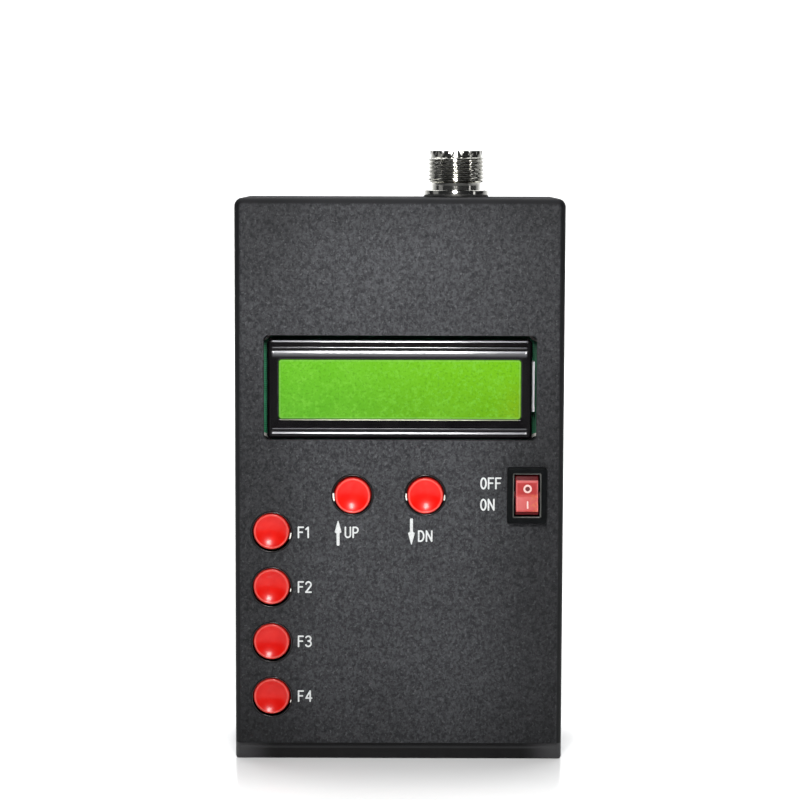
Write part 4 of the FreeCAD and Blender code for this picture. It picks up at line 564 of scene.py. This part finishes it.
FINISH = {
    "front_cover": CASE, "rear_shell": CASE, "case_screws": BLACK_SCREW, "lcd_bezel": ENAMEL, "lcd_glass": DISPLAY,
    "lcd_backlight": LIGHT_GUIDE, "lcd_board": DISPLAY_BOARD, "lcd_screws": STEEL, "lcd_header": BLACK_PLASTIC, "lcd_chips": RESIN,
    "lcd_ribbon": CABLE, "key_board": BOARD, "key_board_screws": STEEL, "key_switches": BLACK_PLASTIC, "key_ribbon": CABLE,
    "key_socket": WHITE_PLASTIC, "rocker_housing": SWITCH_BLACK, "rocker_paddle": ROCKER_RED, "rocker_terminals": TIN,
    "switch_leads": WIRE_RED, "uhf_body": NICKEL, "uhf_insulator": PTFE, "uhf_contact": CONTACT, "uhf_lock_washer": NICKEL,
    "uhf_nut": NICKEL, "coax_pigtail": WIRE_COAX, "main_board": BOARD, "main_board_screws": STEEL, "shield_can": TIN,
    "controller_chip": RESIN, "synth_chip": RESIN, "clock_crystal": CAN, "filter_capacitors": CAN,
    "contrast_trimmer": WHITE_PLASTIC, "display_socket": BLACK_PLASTIC, "keypad_socket": WHITE_PLASTIC,
    "plug_sockets": WHITE_PLASTIC, "dc_jack": BLACK_PLASTIC, "dc_jack_pin": NICKEL, "usb_socket": TIN,
    "battery_holder": BLACK_PLASTIC, "battery_cells": CELL, "battery_contacts": TIN, "holder_tape": FOAM,
    "battery_leads": WIRE_PAIR,
}
for name, obj in NODES.items():
    if name.startswith("key_cap_"):
        skin = CAP_RED
    elif name.startswith("key_stem_"):
        skin = STEM_BLACK
    else:
        skin = FINISH[name]
    if obj.material_slots:
        for s in obj.material_slots:
            s.material = skin
    else:
        obj.data.materials.append(skin)


# ------------------------------------------------------------------ mesh building
def piece(name, bm, material, body, angle=38, replaces=()):
    """Turns a bmesh in millimetres of the row frame into a piece that rides on a body."""
    bmesh.ops.remove_doubles(bm, verts=bm.verts, dist=1e-5)
    bmesh.ops.recalc_face_normals(bm, faces=bm.faces)
    bmesh.ops.scale(bm, vec=(MM, MM, MM), verts=bm.verts)
    mesh = bpy.data.meshes.new(name)
    bm.to_mesh(mesh)
    bm.free()
    mesh.materials.append(material)
    mesh.shade_smooth()
    mesh.set_sharp_from_angle(angle=math.radians(angle))
    obj = bpy.data.objects.new(name, mesh)
    bpy.context.scene.collection.objects.link(obj)
    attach(obj, body)
    if replaces:
        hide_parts(*replaces)
    return obj


def rounded(points, steps=6):
    """Points are (a, b) or (a, b, radius): the closed outline with those corners rounded."""
    out = []
    n = len(points)
    for i, p in enumerate(points):
        here = Vector(p[:2])
        r = p[2] if len(p) > 2 else 0.0
        if r <= 0:
            out.append(tuple(here))
            continue
        back = (Vector(points[i - 1][:2]) - here).normalized()
        ahead = (Vector(points[(i + 1) % n][:2]) - here).normalized()
        half = math.acos(max(-1.0, min(1.0, back.dot(ahead)))) / 2
        run = r / math.tan(half)
        centre = here + (back + ahead).normalized() * (r / math.sin(half))
        a, b = here + back * run - centre, here + ahead * run - centre
        turn = math.atan2(a.x * b.y - a.y * b.x, a.dot(b))
        for k in range(steps + 1):
            q = turn * k / steps
            c, s = math.cos(q), math.sin(q)
            out.append((centre.x + a.x * c - a.y * s, centre.y + a.x * s + a.y * c))
    return out


def lathe(bm, profile, at, segments=96):
    """Turns a closed (radius, height) outline; at(radius, angle, height) gives the point."""
    rings = []
    for r, h in profile:
        if r < 1e-9:
            rings.append([bm.verts.new(at(0.0, 0.0, h))])
        else:
            rings.append([bm.verts.new(at(r, TAU * k / segments, h)) for k in range(segments)])
    n = len(rings)
    for i in range(n):
        a, b = rings[i], rings[(i + 1) % n]
        if len(a) == 1 and len(b) == 1:
            continue
        for k in range(segments):
            j = (k + 1) % segments
            if len(a) == 1:
                bm.faces.new((a[0], b[j], b[k]))
            elif len(b) == 1:
                bm.faces.new((a[k], a[j], b[0]))
            else:
                bm.faces.new((a[k], a[j], b[j], b[k]))
    return rings


def out_front(x, z):
    return lambda r, q, h: (x + r * math.cos(q), -h, z + r * math.sin(q))


def out_top(x, y, z0):
    return lambda r, q, h: (x + r * math.cos(q), y + r * math.sin(q), z0 + h)


def rrect(cx, cz, hx, hz, r, arc=8):
    """Corner points of a rounded rectangle, always 4 * (arc + 1) of them."""
    r = max(r, 1e-4)
    points = []
    for sx, sz, q0 in ((1, 1, 0.0), (-1, 1, 0.25), (-1, -1, 0.5), (1, -1, 0.75)):
        for k in range(arc + 1):
            q = TAU * (q0 + 0.25 * k / arc)
            points.append((cx + sx * (hx - r) + r * math.cos(q), cz + sz * (hz - r) + r * math.sin(q)))
    return points


def ring(bm, points, depth):
    """A loop at distance depth in front of the middle plane."""
    return [bm.verts.new((x, -depth, z)) for x, z in points]


def bridge(bm, a, b):
    n = len(a)
    for k in range(n):
        j = (k + 1) % n
        bm.faces.new((a[k], a[j], b[j], b[k]))


def flat_fill(bm, loops):
    edges = []
    for loop in loops:
        n = len(loop)
        for k in range(n):
            e = bm.edges.get((loop[k], loop[(k + 1) % n]))
            edges.append(e or bm.edges.new((loop[k], loop[(k + 1) % n])))
    bmesh.ops.triangle_fill(bm, use_beauty=True, use_dissolve=False, edges=edges)


# ------------------------------------------------------------------ display bezel
TAB = (93.55, 107.45, 14.4)  # the notch for the backlight's tab: bottom, top, depth


def display_bezel():
    bm = bmesh.new()
    cx, cz, hx, hz = 0.0, 100.05, 35.4, 13.35
    front, sheet, back, corner = 18.0, 0.42, 9.85, 1.2

    def outline(side, top=None, bottom=None):
        """The rounded outline, drawn in by so much, with four more points on its right side for the notch."""
        top, bottom = side if top is None else top, side if bottom is None else bottom
        pts = rrect(cx, cz + (bottom - top) / 2, hx - side, hz - (top + bottom) / 2, max(corner - side, 0.12))
        extra = [(cx + hx - side, z) for z in (TAB[0] - 0.15, TAB[0], TAB[1], TAB[1] + 0.15)]
        return pts + extra

    def wall(inset, depth):
        """A loop that steps forward over the notch."""
        pts = outline(inset)
        return [bm.verts.new((x, -(TAB[2] if i in (len(pts) - 3, len(pts) - 2) else depth), z)) for i, (x, z) in enumerate(pts)]

    # outer skin: side wall, bend, then the flat face; the top edge is pressed to a long, shallow bend
    loops = [wall(0.0, back)]
    for side, top, deep in ((0.0, 0.0, 1.10), (0.012, 0.008, 0.92), (0.05, 0.03, 0.74), (0.12, 0.08, 0.55), (0.20, 0.14, 0.39),
                            (0.29, 0.21, 0.255), (0.38, 0.29, 0.165), (0.48, 0.38, 0.112), (0.60, 0.52, 0.073), (0.72, 0.68, 0.031),
                            (0.80, 0.80, 0.008), (0.88, 0.90, 0.0)):
        loops.append(ring(bm, outline(side, top, side), front - deep))
    for a, b in zip(loops, loops[1:]):
        bridge(bm, a, b)
    face_edge = loops[-1]
    # two long beads pressed in, above and below the view: a steep wall with a raised burr on top, a long ramp below;
    # under the upper one the sheet is drawn in as well
    holes = []
    drawn = ((-1.12, 0.0), (-0.95, 0.008), (-0.75, 0.026), (-0.50, 0.0535), (-0.25, 0.086), (0.0, 0.1235), (0.20, 0.178),
             (0.40, 0.234), (0.48, 0.248), (0.60, 0.254))
    crisp = ((-0.10, 0.0), (-0.06, 0.001), (-0.02, 0.004), (0.03, 0.010), (0.10, 0.026), (0.20, 0.054), (0.34, 0.093),
             (0.48, 0.132), (0.56, 0.144), (0.68, 0.148))
    for high, low, ramp in ((89.35, 88.02, crisp), (111.10, 109.84, drawn)):
        deep = ramp[-1][1]
        burr = ((0.30, 0.0), (0.22, -0.010), (0.12, -0.036), (0.04, -0.052), (-0.01, -0.045), (-0.06, 0.02), (-0.11, deep * 0.55),
                (-0.17, deep * 0.85), (-0.28, deep * 0.97), (-0.40, deep))
        rows = []
        for (above, high_deep), (below, low_deep), inset in zip(burr, ramp, (-0.22, -0.17, -0.10, -0.03, 0.0, 0.05, 0.12, 0.20, 0.32, 0.42)):
            top, bottom = high + above, low + below
            w = (top - bottom) / 2
            row = []
            for px, pz in rrect(0.0, (top + bottom) / 2, 34.2 - inset, w, min(w * 0.95, 0.80), 10):
                up = (pz - bottom) / (top - bottom)
                row.append(bm.verts.new((px, -(front - low_deep - (high_deep - low_deep) * up), pz)))
            rows.append(row)
        for a, b in zip(rows, rows[1:]):
            bridge(bm, a, b)
        bm.faces.new(rows[-1])
        holes.append(rows[0])
    # the view's lip turns in towards the glass
    vx, vz, wx, wz, vr = 0.1, 100.0, 32.45, 8.02, 0.8
    lip, lip_deep = 0.27, 0.30
    rows = []
    for k in range(9):
        q = math.pi / 2 * k / 8
        grow = lip * (1 - math.sin(q))
        rows.append(ring(bm, rrect(vx, vz, wx + grow, wz + grow, vr + grow), front - lip_deep * (1 - math.cos(q))))
    for a, b in zip(rows, rows[1:]):
        bridge(bm, a, b)
    flat_fill(bm, [face_edge, rows[0], *holes])
    # inner skin
    under = front - sheet - 0.012
    inner = [wall(sheet, back), ring(bm, outline(sheet), under - 0.4), ring(bm, outline(sheet + 0.4), under)]
    for a, b in zip(inner, inner[1:]):
        bridge(bm, a, b)
    bridge(bm, loops[0], inner[0])
    edge_in = ring(bm, rrect(vx, vz, wx, wz, vr), under)
    bridge(bm, rows[-1], edge_in)
    flat_fill(bm, [inner[-1], edge_in])
    return piece("display_bezel", bm, ENAMEL, "case", 32, ("lcd_bezel",))


display_bezel()


# ------------------------------------------------------------------ key caps
KEYS = {
    "up": (-12.45, 71.62, "up_button"), "down": (7.0, 71.62, "down_button"),
    "1": (-34.23, 61.90, "function_button_1"), "2": (-34.23, 46.95, "function_button_2"),
    "3": (-34.23, 32.00, "function_button_3"), "4": (-34.23, 17.05, "function_button_4"),
}


def key_cap(word, x, z, body):
    bm = bmesh.new()
    rim, rear, floor, R, wide = 19.9, 13.6, 16.2, 4.76, 5.02
    # rounded rim, then a dish of one radius
    ball, dish = 8.15, 4.28
    deep = ball - math.sqrt(ball * ball - dish * dish)
    profile = [(0.0, floor), (3.9, floor), (3.9, rear), (4.75, rear), (4.9, rear + 0.15), (4.9, rim - 2.1), (4.94, rim - 1.8),
               (wide, rim - 1.5), (wide - 0.01, rim - 1.2), (4.87, rim - 0.80), (4.80, rim - 0.55)]
    for k in range(9):
        q = math.pi / 2 * k / 8
        profile.append((R - 0.34 * (1 - math.cos(q)), rim - 0.34 * (1 - math.sin(q))))
    slope = math.asin(dish / ball)
    for k in range(1, 7):
        q = slope * k / 6
        profile.append((R - 0.34 - 0.14 * math.sin(q) / math.sin(slope), rim - 0.14 * (1 - math.cos(q)) / math.sin(slope) * 0.6))
    lip = profile[-1][1]
    for k in range(0, 27):
        r = dish * (1 - k / 26)
        profile.append((r, lip - (deep - (ball - math.sqrt(ball * ball - r * r))) + 0.0))
    lathe(bm, profile[:-1] + [(0.0, profile[-1][1])], out_front(x, z), 112)
    # the socket that grips the stem
    a, b = ring(bm, rrect(x, z, 2.65, 2.65, 0.4, 4), floor + 0.05), ring(bm, rrect(x, z, 2.65, 2.65, 0.4, 4), rear + 0.2)
    c, e = ring(bm, rrect(x, z, 1.97, 1.97, 0.12, 4), rear + 0.2), ring(bm, rrect(x, z, 1.97, 1.97, 0.12, 4), floor + 0.05)
    for p, q in ((a, b), (b, c), (c, e), (e, a)):
        bridge(bm, p, q)
    return piece("cap_" + word, bm, CAP_RED, body, 40, ("key_cap_" + word,))


for word, (x, z, body) in KEYS.items():
    key_cap(word, x, z, body)


def hole_rims():
    """The burnished edge of each key hole, rolled over by the cutter."""
    for i, (x, z) in enumerate(HOLES):
        bm = bmesh.new()
        profile = []
        for k in range(20):
            q = TAU * k / 20
            profile.append((5.36 + 0.13 * math.cos(q), 19.955 + 0.085 * math.sin(q)))
        lathe(bm, profile, out_front(x, z), 96)
        piece("hole_rim_%d" % (i + 1), bm, RIM_BLACK, "case", 60)


hole_rims()


def painted_hole_glints():
    """Painted glints: small pale marks just inside the edge of some key holes, standing in for light glinting off the
    holes' edges.
    """
    for i, (hole, middle, half, wide) in enumerate(((0, 186.0, 9.0, 0.27), (1, 185.0, 8.0, 0.24), (1, -7.0, 6.5, 0.18),
                                                    (5, -11.0, 7.5, 0.20), (4, -8.0, 3.5, 0.14), (2, -12.0, 2.5, 0.13))):
        x, z = HOLES[hole]
        bm = bmesh.new()
        line = []
        for k in range(13):
            q = math.radians(middle + half * (k / 6 - 1))
            line.append((x + 5.18 * math.cos(q), -19.995, z + 5.18 * math.sin(q)))
        stroke(bm, line, (0, -1, 0), wide, 0.06)
        piece("painted_hole_glint_%d" % (i + 1), bm, PAINTED_GLINT, "case", 60)


# ------------------------------------------------------------------ rocker
PIVOT = Vector((34.1, -19.2, 71.93))
TILT = Matrix.Rotation(math.radians(-9.0), 4, "X")
SADDLE, LOW, HIGH = -0.45, 4.55, 3.80  # where the face's two halves meet, and how far each reaches from the pivot


def on_rocker(p):
    return PIVOT + TILT @ Vector(p)


def across(bm, corners, half_width, edge, steps=7):
    """A closed (y, z) outline drawn out across the rocker; its edges shrink towards both sides to round them."""
    line = rounded(corners, 7)
    n = len(line)
    area = sum(line[i][0] * line[(i + 1) % n][1] - line[(i + 1) % n][0] * line[i][1] for i in range(n))
    sign = 1.0 if area > 0 else -1.0

    def shrunk(inset):
        out = []
        for i in range(n):
            t = (Vector(line[(i + 1) % n]) - Vector(line[i - 1])).normalized()
            out.append((line[i][0] - sign * t.y * inset, line[i][1] + sign * t.x * inset))
        return out

    stations = []
    for k in range(steps + 1):
        q = math.pi / 2 * (1 - k / steps)
        stations.append((-(half_width - edge) - edge * math.sin(q), edge * (1 - math.cos(q))))
    stations += [(-x, inset) for x, inset in reversed(stations)]
    rows = [[bm.verts.new(on_rocker((x, py, pz))) for py, pz in shrunk(inset)] for x, inset in stations]
    for a, b in zip(rows, rows[1:]):
        bridge(bm, a, b)
    bm.faces.new(rows[0])
    bm.faces.new(rows[-1])


def rocker():
    bm = bmesh.new()
    crown, rise = 2.4, 0.71
    across(bm, [(-crown, SADDLE, 2.5), (-(crown + rise), -LOW, 0.40), (-1.9, -(LOW + 0.1), 0.2), (1.6, -(LOW + 0.1), 0.7),
                (1.6, HIGH + 0.1, 0.7), (-1.9, HIGH + 0.1, 0.2), (-(crown + rise), HIGH, 0.40)], 3.02, 0.30)
    for sx in (-1, 1):
        ends = []
        for x, r in ((2.9, 0.9), (3.85, 0.9), (4.0, 0.75)):
            ends.append([bm.verts.new(on_rocker((sx * x, r * math.cos(TAU * j / 32), r * math.sin(TAU * j / 32)))) for j in range(32)])
        for a, b in zip(ends, ends[1:]):
            bridge(bm, a, b)
        bm.faces.new(ends[0])
        bm.faces.new(ends[-1])
    piece("rocker_key", bm, ROCKER_RED, "rocker", 30, ("rocker_paddle",))
    bm = bmesh.new()
    across(bm, [(-1.78, -4.9, 0.2), (-1.42, -5.30, 0.25), (-0.2, -5.34, 0.3), (1.1, -4.9, 0.4), (1.1, 4.9, 0.4), (-0.2, 5.34, 0.3),
                (-1.42, 5.30, 0.25), (-1.78, 4.9, 0.2)], 3.08, 0.2)
    return piece("rocker_skirt", bm, ROCKER_DEEP, "rocker", 30, ())


rocker()


# ------------------------------------------------------------------ strokes for legends and marks
def stroke(bm, points, normal, half_wide, half_thick, closed=False, around=12, cap=5):
    """A flat bead of ink along a line, with round ends."""
    pts = [Vector(p) for p in points]
    n = len(pts)
    normal = Vector(normal).normalized()

    def direction(i):
        if closed:
            return (pts[(i + 1) % n] - pts[i - 1]).normalized()
        a, b = pts[max(i - 1, 0)], pts[min(i + 1, n - 1)]
        return (b - a).normalized()

    def section(p, t, k=1.0):
        s = normal.cross(t).normalized()
        return [bm.verts.new(p + s * (half_wide * k * math.cos(TAU * j / around)) + normal * (half_thick * k * math.sin(TAU * j / around)))
                for j in range(around)]

    rows = []
    if not closed:
        t = direction(0)
        rows.append([bm.verts.new(pts[0] - t * half_wide)])
        for c in range(cap - 1, 0, -1):
            q = math.pi / 2 * c / cap
            rows.append(section(pts[0] - t * (half_wide * math.sin(q)), t, math.cos(q)))
    for i in range(n):
        rows.append(section(pts[i], direction(i)))
    if not closed:
        t = direction(n - 1)
        for c in range(1, cap):
            q = math.pi / 2 * c / cap
            rows.append(section(pts[-1] + t * (half_wide * math.sin(q)), t, math.cos(q)))
        rows.append([bm.verts.new(pts[-1] + t * half_wide)])
    pairs = list(zip(rows, rows[1:]))
    if closed:
        pairs.append((rows[-1], rows[0]))
    for a, b in pairs:
        for j in range(around):
            i = (j + 1) % around
            if len(a) == 1:
                bm.faces.new((a[0], b[j], b[i]))
            elif len(b) == 1:
                bm.faces.new((a[j], b[0], a[i]))
            else:
                bm.faces.new((a[j], b[j], b[i], a[i]))


def arc(cx, cy, rx, ry, q0, q1, steps=12):
    return [(cx + rx * math.cos(math.radians(q0 + (q1 - q0) * k / steps)), cy + ry * math.sin(math.radians(q0 + (q1 - q0) * k / steps)))
            for k in range(steps + 1)]


painted_hole_glints()

# letters and numerals as pen strokes, in a box one unit high; a stroke that ends with "closed" joins up
GLYPHS = {
    "O": (0.42, [arc(0.21, 0.5, 0.21, 0.5, 90, 430, 34) + ["closed"]]),
    "F": (0.40, [[(0.0, 0.0), (0.0, 1.0)], [(0.0, 1.0), (0.40, 1.0)], [(0.0, 0.52), (0.33, 0.52)]]),
    "N": (0.46, [[(0.0, 0.0), (0.0, 1.0)], [(0.0, 1.0), (0.46, 0.0)], [(0.46, 0.0), (0.46, 1.0)]]),
    "U": (0.44, [[(0.0, 1.0), (0.0, 0.24)] + arc(0.22, 0.24, 0.22, 0.24, 180, 360)[1:] + [(0.44, 1.0)]]),
    "P": (0.42, [[(0.0, 0.0), (0.0, 1.0)], [(0.0, 1.0), (0.20, 1.0)] + arc(0.20, 0.73, 0.22, 0.27, 90, -90)[1:] + [(0.0, 0.46)]]),
    "D": (0.44, [[(0.0, 0.0), (0.0, 1.0)], [(0.0, 1.0), (0.16, 1.0)] + arc(0.16, 0.5, 0.28, 0.5, 90, -90, 18)[1:] + [(0.0, 0.0)]]),
    "1": (0.22, [[(0.0, 0.80), (0.20, 1.0)], [(0.20, 1.0), (0.20, 0.0)]]),
    "2": (0.44, [arc(0.22, 0.74, 0.22, 0.26, 165, -35, 14) + [(0.0, 0.0)], [(0.0, 0.0), (0.44, 0.0)]]),
    "3": (0.44, [arc(0.20, 0.76, 0.22, 0.24, 150, -90, 14), arc(0.20, 0.27, 0.24, 0.27, 90, -150, 16)]),
    "4": (0.46, [[(0.36, 0.0), (0.36, 1.0)], [(0.36, 1.0), (0.0, 0.30)], [(0.0, 0.30), (0.48, 0.30)]]),
}
FACE = 20.0


def legend(name, text, x0, z0, height, pen=0.29, gap=0.30, lean=0.0):
    """x0 and z0 are the text's lower left corner and height its full height, ink included."""
    bm = bmesh.new()
    tall = height - 2 * pen
    x = x0 + pen
    for letter in text:
        width, strokes = GLYPHS[letter]
        for line in strokes:
            closed = line[-1] == "closed"
            pts = [p for p in line if p != "closed"]
            if closed:
                pts = pts[:-1]
            placed = [(x + px * tall * 1.12, -(FACE + 0.004), z0 + pen + pz * tall) for px, pz in pts]
            stroke(bm, placed, (0, -1, 0), pen, 0.032, closed)
        x += width * tall * 1.12 + 2 * pen + gap
    return piece(name, bm, WHITE_INK, "case", 60)


legend("legend_off", "OFF", 21.65, 73.47, 3.25, 0.225, 0.25)
legend("legend_on", "ON", 21.65, 67.72, 3.25, 0.225, 0.25)
legend("legend_up", "UP", -14.58, 60.20, 3.15, 0.215, 0.31)
legend("legend_down", "DN", 5.05, 59.25, 3.15, 0.215, 0.31)
for word, z in (("1", 60.12), ("2", 45.32), ("3", 30.55), ("4", 15.60)):
    legend("legend_f" + word, "F" + word, -27.15, z, 3.20, 0.215, 0.32)


def arrow(name, x, low, high, up):
    """A slender arrow with a raised, rounded skin of ink."""
    bm = bmesh.new()
    long_ = high - low
    head, wide, shaft = 3.5, 0.93, 0.40
    half = [(0.0, long_), (wide, long_ - head), (wide * 0.55, long_ - head - 0.12), (shaft, long_ - head + 0.25), (shaft, 0.25), (0.25, 0.0)]
    outline = [(px, pz, r) for (px, pz), r in zip(half, (0.0, 0.16, 0.10, 0.08, 0.18, 0.1))]
    outline = [(0.0, long_, 0.12)] + outline[1:] + [(-px, pz, r) for px, pz, r in reversed(outline[1:])]
    line = rounded(outline, 5)
    n = len(line)
    area = sum(line[i][0] * line[(i + 1) % n][1] - line[(i + 1) % n][0] * line[i][1] for i in range(n))
    sign = 1.0 if area > 0 else -1.0
    loops = []
    for inset, deep in ((0.0, -0.02), (0.0, 0.012), (0.03, 0.026), (0.08, 0.034)):
        row = []
        for i in range(n):
            t = (Vector(line[(i + 1) % n]) - Vector(line[i - 1])).normalized()
            px, pz = line[i][0] - sign * t.y * inset, line[i][1] + sign * t.x * inset
            row.append(bm.verts.new((x + px, -(FACE + deep), (low + pz) if up else (high - pz))))
        loops.append(row)
    for a, b in zip(loops, loops[1:]):
        bridge(bm, a, b)
    flat_fill(bm, [loops[-1]])
    flat_fill(bm, [loops[0]])
    return piece(name, bm, WHITE_INK, "case", 50)


arrow("legend_arrow_up", -16.32, 58.15, 65.25, True)
arrow("legend_arrow_down", 3.32, 58.20, 65.58, False)


MARK_O = 1.95


def rocker_marks():
    slope, slope_low = math.atan2(0.71, HIGH - SADDLE), math.atan2(0.71, LOW + SADDLE)

    def upper(u, v):  # u across, v up from the saddle, on the upper half
        return on_rocker((u, -2.405 - v * math.tan(slope) - 0.012, SADDLE + v))

    def lower(u, v):
        return on_rocker((u, -2.405 - v * math.tan(slope_low) - 0.012, SADDLE - v))

    up_normal = TILT @ Vector((0, -math.cos(slope), -math.sin(slope)))
    low_normal = TILT @ Vector((0, -math.cos(slope_low), math.sin(slope_low)))
    bm = bmesh.new()
    circle = [upper(0.14 + 0.88 * math.cos(TAU * k / 40), MARK_O + 0.88 * math.sin(TAU * k / 40)) for k in range(40)]
    stroke(bm, circle, up_normal, 0.25, 0.045, True)
    piece("rocker_mark_o", bm, MARK_INK, "rocker", 60)
    bm = bmesh.new()
    rows = []
    for r, lift in ((0.60, -0.02), (0.60, 0.006), (0.54, 0.016), (0.30, 0.020)):
        rows.append([bm.verts.new(upper(0.14 + r * math.cos(TAU * k / 40), MARK_O + r * math.sin(TAU * k / 40)) + up_normal * lift) for k in range(40)])
    for a, b in zip(rows, rows[1:]):
        bridge(bm, a, b)
    bm.faces.new(rows[0])
    bm.faces.new(rows[-1])
    piece("rocker_mark_ground", bm, DARK_INK, "rocker", 60)
    bm = bmesh.new()
    stroke(bm, [lower(0.14, 1.50), lower(0.14, 2.35), lower(0.14, 3.15)], low_normal, 0.22, 0.06)
    piece("rocker_mark_i", bm, MARK_INK, "rocker", 60)


rocker_marks()


def rocker_lip():
    """The moulded bead that runs round the housing's mouth, in grey as a painted highlight."""
    bm = bmesh.new()
    line = [(x, -21.24, z) for x, z in rrect(34.1, 72.0, 3.66, 5.88, 0.35, 6)]
    stroke(bm, line, (0, -1, 0), 0.21, 0.13, True)
    piece("rocker_mouth_bead", bm, MOUTH_HIGHLIGHT_GREY, "case", 60)


rocker_lip()


# ------------------------------------------------------------------ coax socket shell
COAX = (15.35, 5.0, 151.0)


def coax_shell():
    """Barrel, flange and neck, a true right-hand thread, and a crown with sixteen V notches, as one skin."""
    bm = bmesh.new()
    around = 256
    cx, cy, cz = COAX
    pitch, deep, R, bore = 1.058, 0.60, 7.85, 5.95
    rows = []

    def add(r, h):
        rows.append([(r if not callable(r) else r(k), h if not callable(h) else h(k)) for k in range(around)])

    for r, h in rounded([(bore, -11.0, 0.15), (6.2, -11.0, 0.15), (6.2, 0.0), (8.85, 0.0, 0.25), (8.85, 1.95, 0.35), (6.7, 1.95, 0.25)], 5):
        add(r, h)
    add(6.7, 3.0)
    add(6.7, 3.72)
    add(6.72, 3.85)
    add(6.80, 3.93)
    low, high = 4.0, 10.9

    def thread(h):
        def radius(k):
            q = k / around
            phase = (h / pitch - q) % 1.0
            crest, root = 0.16, 0.12
            flank = (1.0 - crest - root) / 2
            if phase < crest:
                drop = 0.0
            elif phase < crest + flank:
                drop = (phase - crest) / flank
            elif phase < crest + flank + root:
                drop = 1.0
            else:
                drop = (1.0 - phase) / flank
            drop = drop * drop * (3 - 2 * drop) * 0.35 + drop * 0.65
            lead = min(1.0, (h - low) / 0.55, (high - h) / 0.22)
            cone = 7.12 + (R - 7.12) * max(0.0, lead)
            return min(R - deep * drop, cone)
        return radius

    steps = int((high - low) / (pitch / 15))
    for i in range(steps + 1):
        h = low + (high - low) * i / steps
        add(thread(h), h)
    add(7.10, high + 0.12)
    add(7.10, high + 0.30)

    def top(k, drop):
        q = (k + 0.5) / around * 16 % 1.0
        off = abs(q - 0.5) * TAU / 16
        notch = max(0.0, 1.0 - off / 0.105)
        return 12.6 - 1.30 * min(1.0, notch * 1.08) - drop

    add(7.10, lambda k: top(k, 0.12))
    add(7.07, lambda k: top(k, 0.04))
    add(6.98, lambda k: top(k, 0.0))
    add(6.12, lambda k: top(k, 0.0))
    add(6.00, lambda k: top(k, 0.05))
    add(bore, lambda k: top(k, 0.16))
    add(bore, high - 0.5)
    add(bore, 8.0)
    grid = []
    for row in rows:
        grid.append([bm.verts.new((cx + r * math.cos(TAU * k / around), cy + r * math.sin(TAU * k / around), cz + h))
                     for k, (r, h) in enumerate(row)])
    n = len(grid)
    for i in range(n):
        bridge(bm, grid[i], grid[(i + 1) % n])
    return piece("coax_shell", bm, NICKEL, "case", 34, ("uhf_body",))


coax_shell()


# ------------------------------------------------------------------ stage, light, camera
def sheet(name, line, half, material):
    bm = bmesh.new()
    cols = [-half, -half / 4, half / 4, half]
    grid = [[bm.verts.new((x, y, z)) for x in cols] for y, z in line]
    for a, b in zip(grid, grid[1:]):
        for k in range(3):
            bm.faces.new((a[k], a[k + 1], b[k + 1], b[k]))
    mesh = bpy.data.meshes.new(name)
    bm.to_mesh(mesh)
    bm.free()
    mesh.materials.append(material)
    mesh.shade_smooth()
    obj = bpy.data.objects.new(name, mesh)
    bpy.context.scene.collection.objects.link(obj)


def studio():
    line = [(-4.0, 0.0), (-0.4, 0.0), (0.4, 0.0), (0.9, 0.0)]
    for k in range(1, 17):
        q = math.pi / 2 * k / 16
        line.append((0.9 + 1.0 * math.sin(q), 1.0 - 1.0 * math.cos(q)))
    line.append((1.9, 4.0))
    sheet("studio_floor", line, 4.0, PAPER)


studio()


def area_light(name, at, to, wide, tall, radiance, colour=(1.0, 1.0, 1.0)):
    data = bpy.data.lights.new(name, "AREA")
    data.shape = "RECTANGLE"
    data.size, data.size_y = wide, tall
    data.energy = radiance * math.pi * wide * tall
    data.color = colour
    obj = bpy.data.objects.new(name, data)
    bpy.context.scene.collection.objects.link(obj)
    obj.location = at
    obj.rotation_mode = "QUATERNION"
    obj.rotation_quaternion = (Vector(to) - Vector(at)).to_track_quat("-Z", "Y")
    return obj


area_light("key", (-0.004, -0.225, 0.202), (0.0, 0.0, 0.085), 0.053, 0.070, 54.0, (1.0, 0.99, 0.98))
area_light("overhead", (0.0, 0.85, 1.30), (0.0, 0.80, 0.0), 2.4, 1.3, 2.0)
area_light("backdrop_wash", (0.0, 0.80, 1.50), (0.0, 1.9, 0.7), 2.4, 0.5, 6.0)
area_light("right_strip", (0.57, -0.235, 0.20), (0.0, 0.0, 0.15), 0.07, 0.14, 1.3)
area_light("left_panel", (-0.60, -0.12, 0.22), (0.0, 0.0, 0.15), 0.26, 0.26, 0.30)
area_light("low_left", (-0.45, -0.20, 0.035), (0.0, 0.0, 0.05), 0.045, 0.09, 16.0)
area_light("low_right", (0.45, -0.20, 0.035), (0.0, 0.0, 0.05), 0.045, 0.09, 16.0)

world = bpy.data.worlds.new("studio_world")
bpy.context.scene.world = world
world.use_nodes = True
world.node_tree.nodes["Background"].inputs["Color"].default_value = (0.55, 0.57, 0.60, 1.0)
world.node_tree.nodes["Background"].inputs["Strength"].default_value = 0.05

cam_data = bpy.data.cameras.new("camera")
cam_data.lens = 110.34
cam_data.sensor_width = 36.0
cam_data.clip_start, cam_data.clip_end = 0.05, 20.0
camera = bpy.data.objects.new("camera", cam_data)
bpy.context.scene.collection.objects.link(camera)
camera.location = (0.00015, -0.670, 0.160)
look = Matrix.Rotation(math.radians(90.0 - 5.5), 4, "X") @ Matrix.Rotation(math.radians(0.17), 4, "Z")
camera.rotation_euler = look.to_euler()
bpy.context.scene.camera = camera
bpy.context.scene.view_settings.view_transform = "Standard"
bpy.context.scene.view_settings.look = "None"
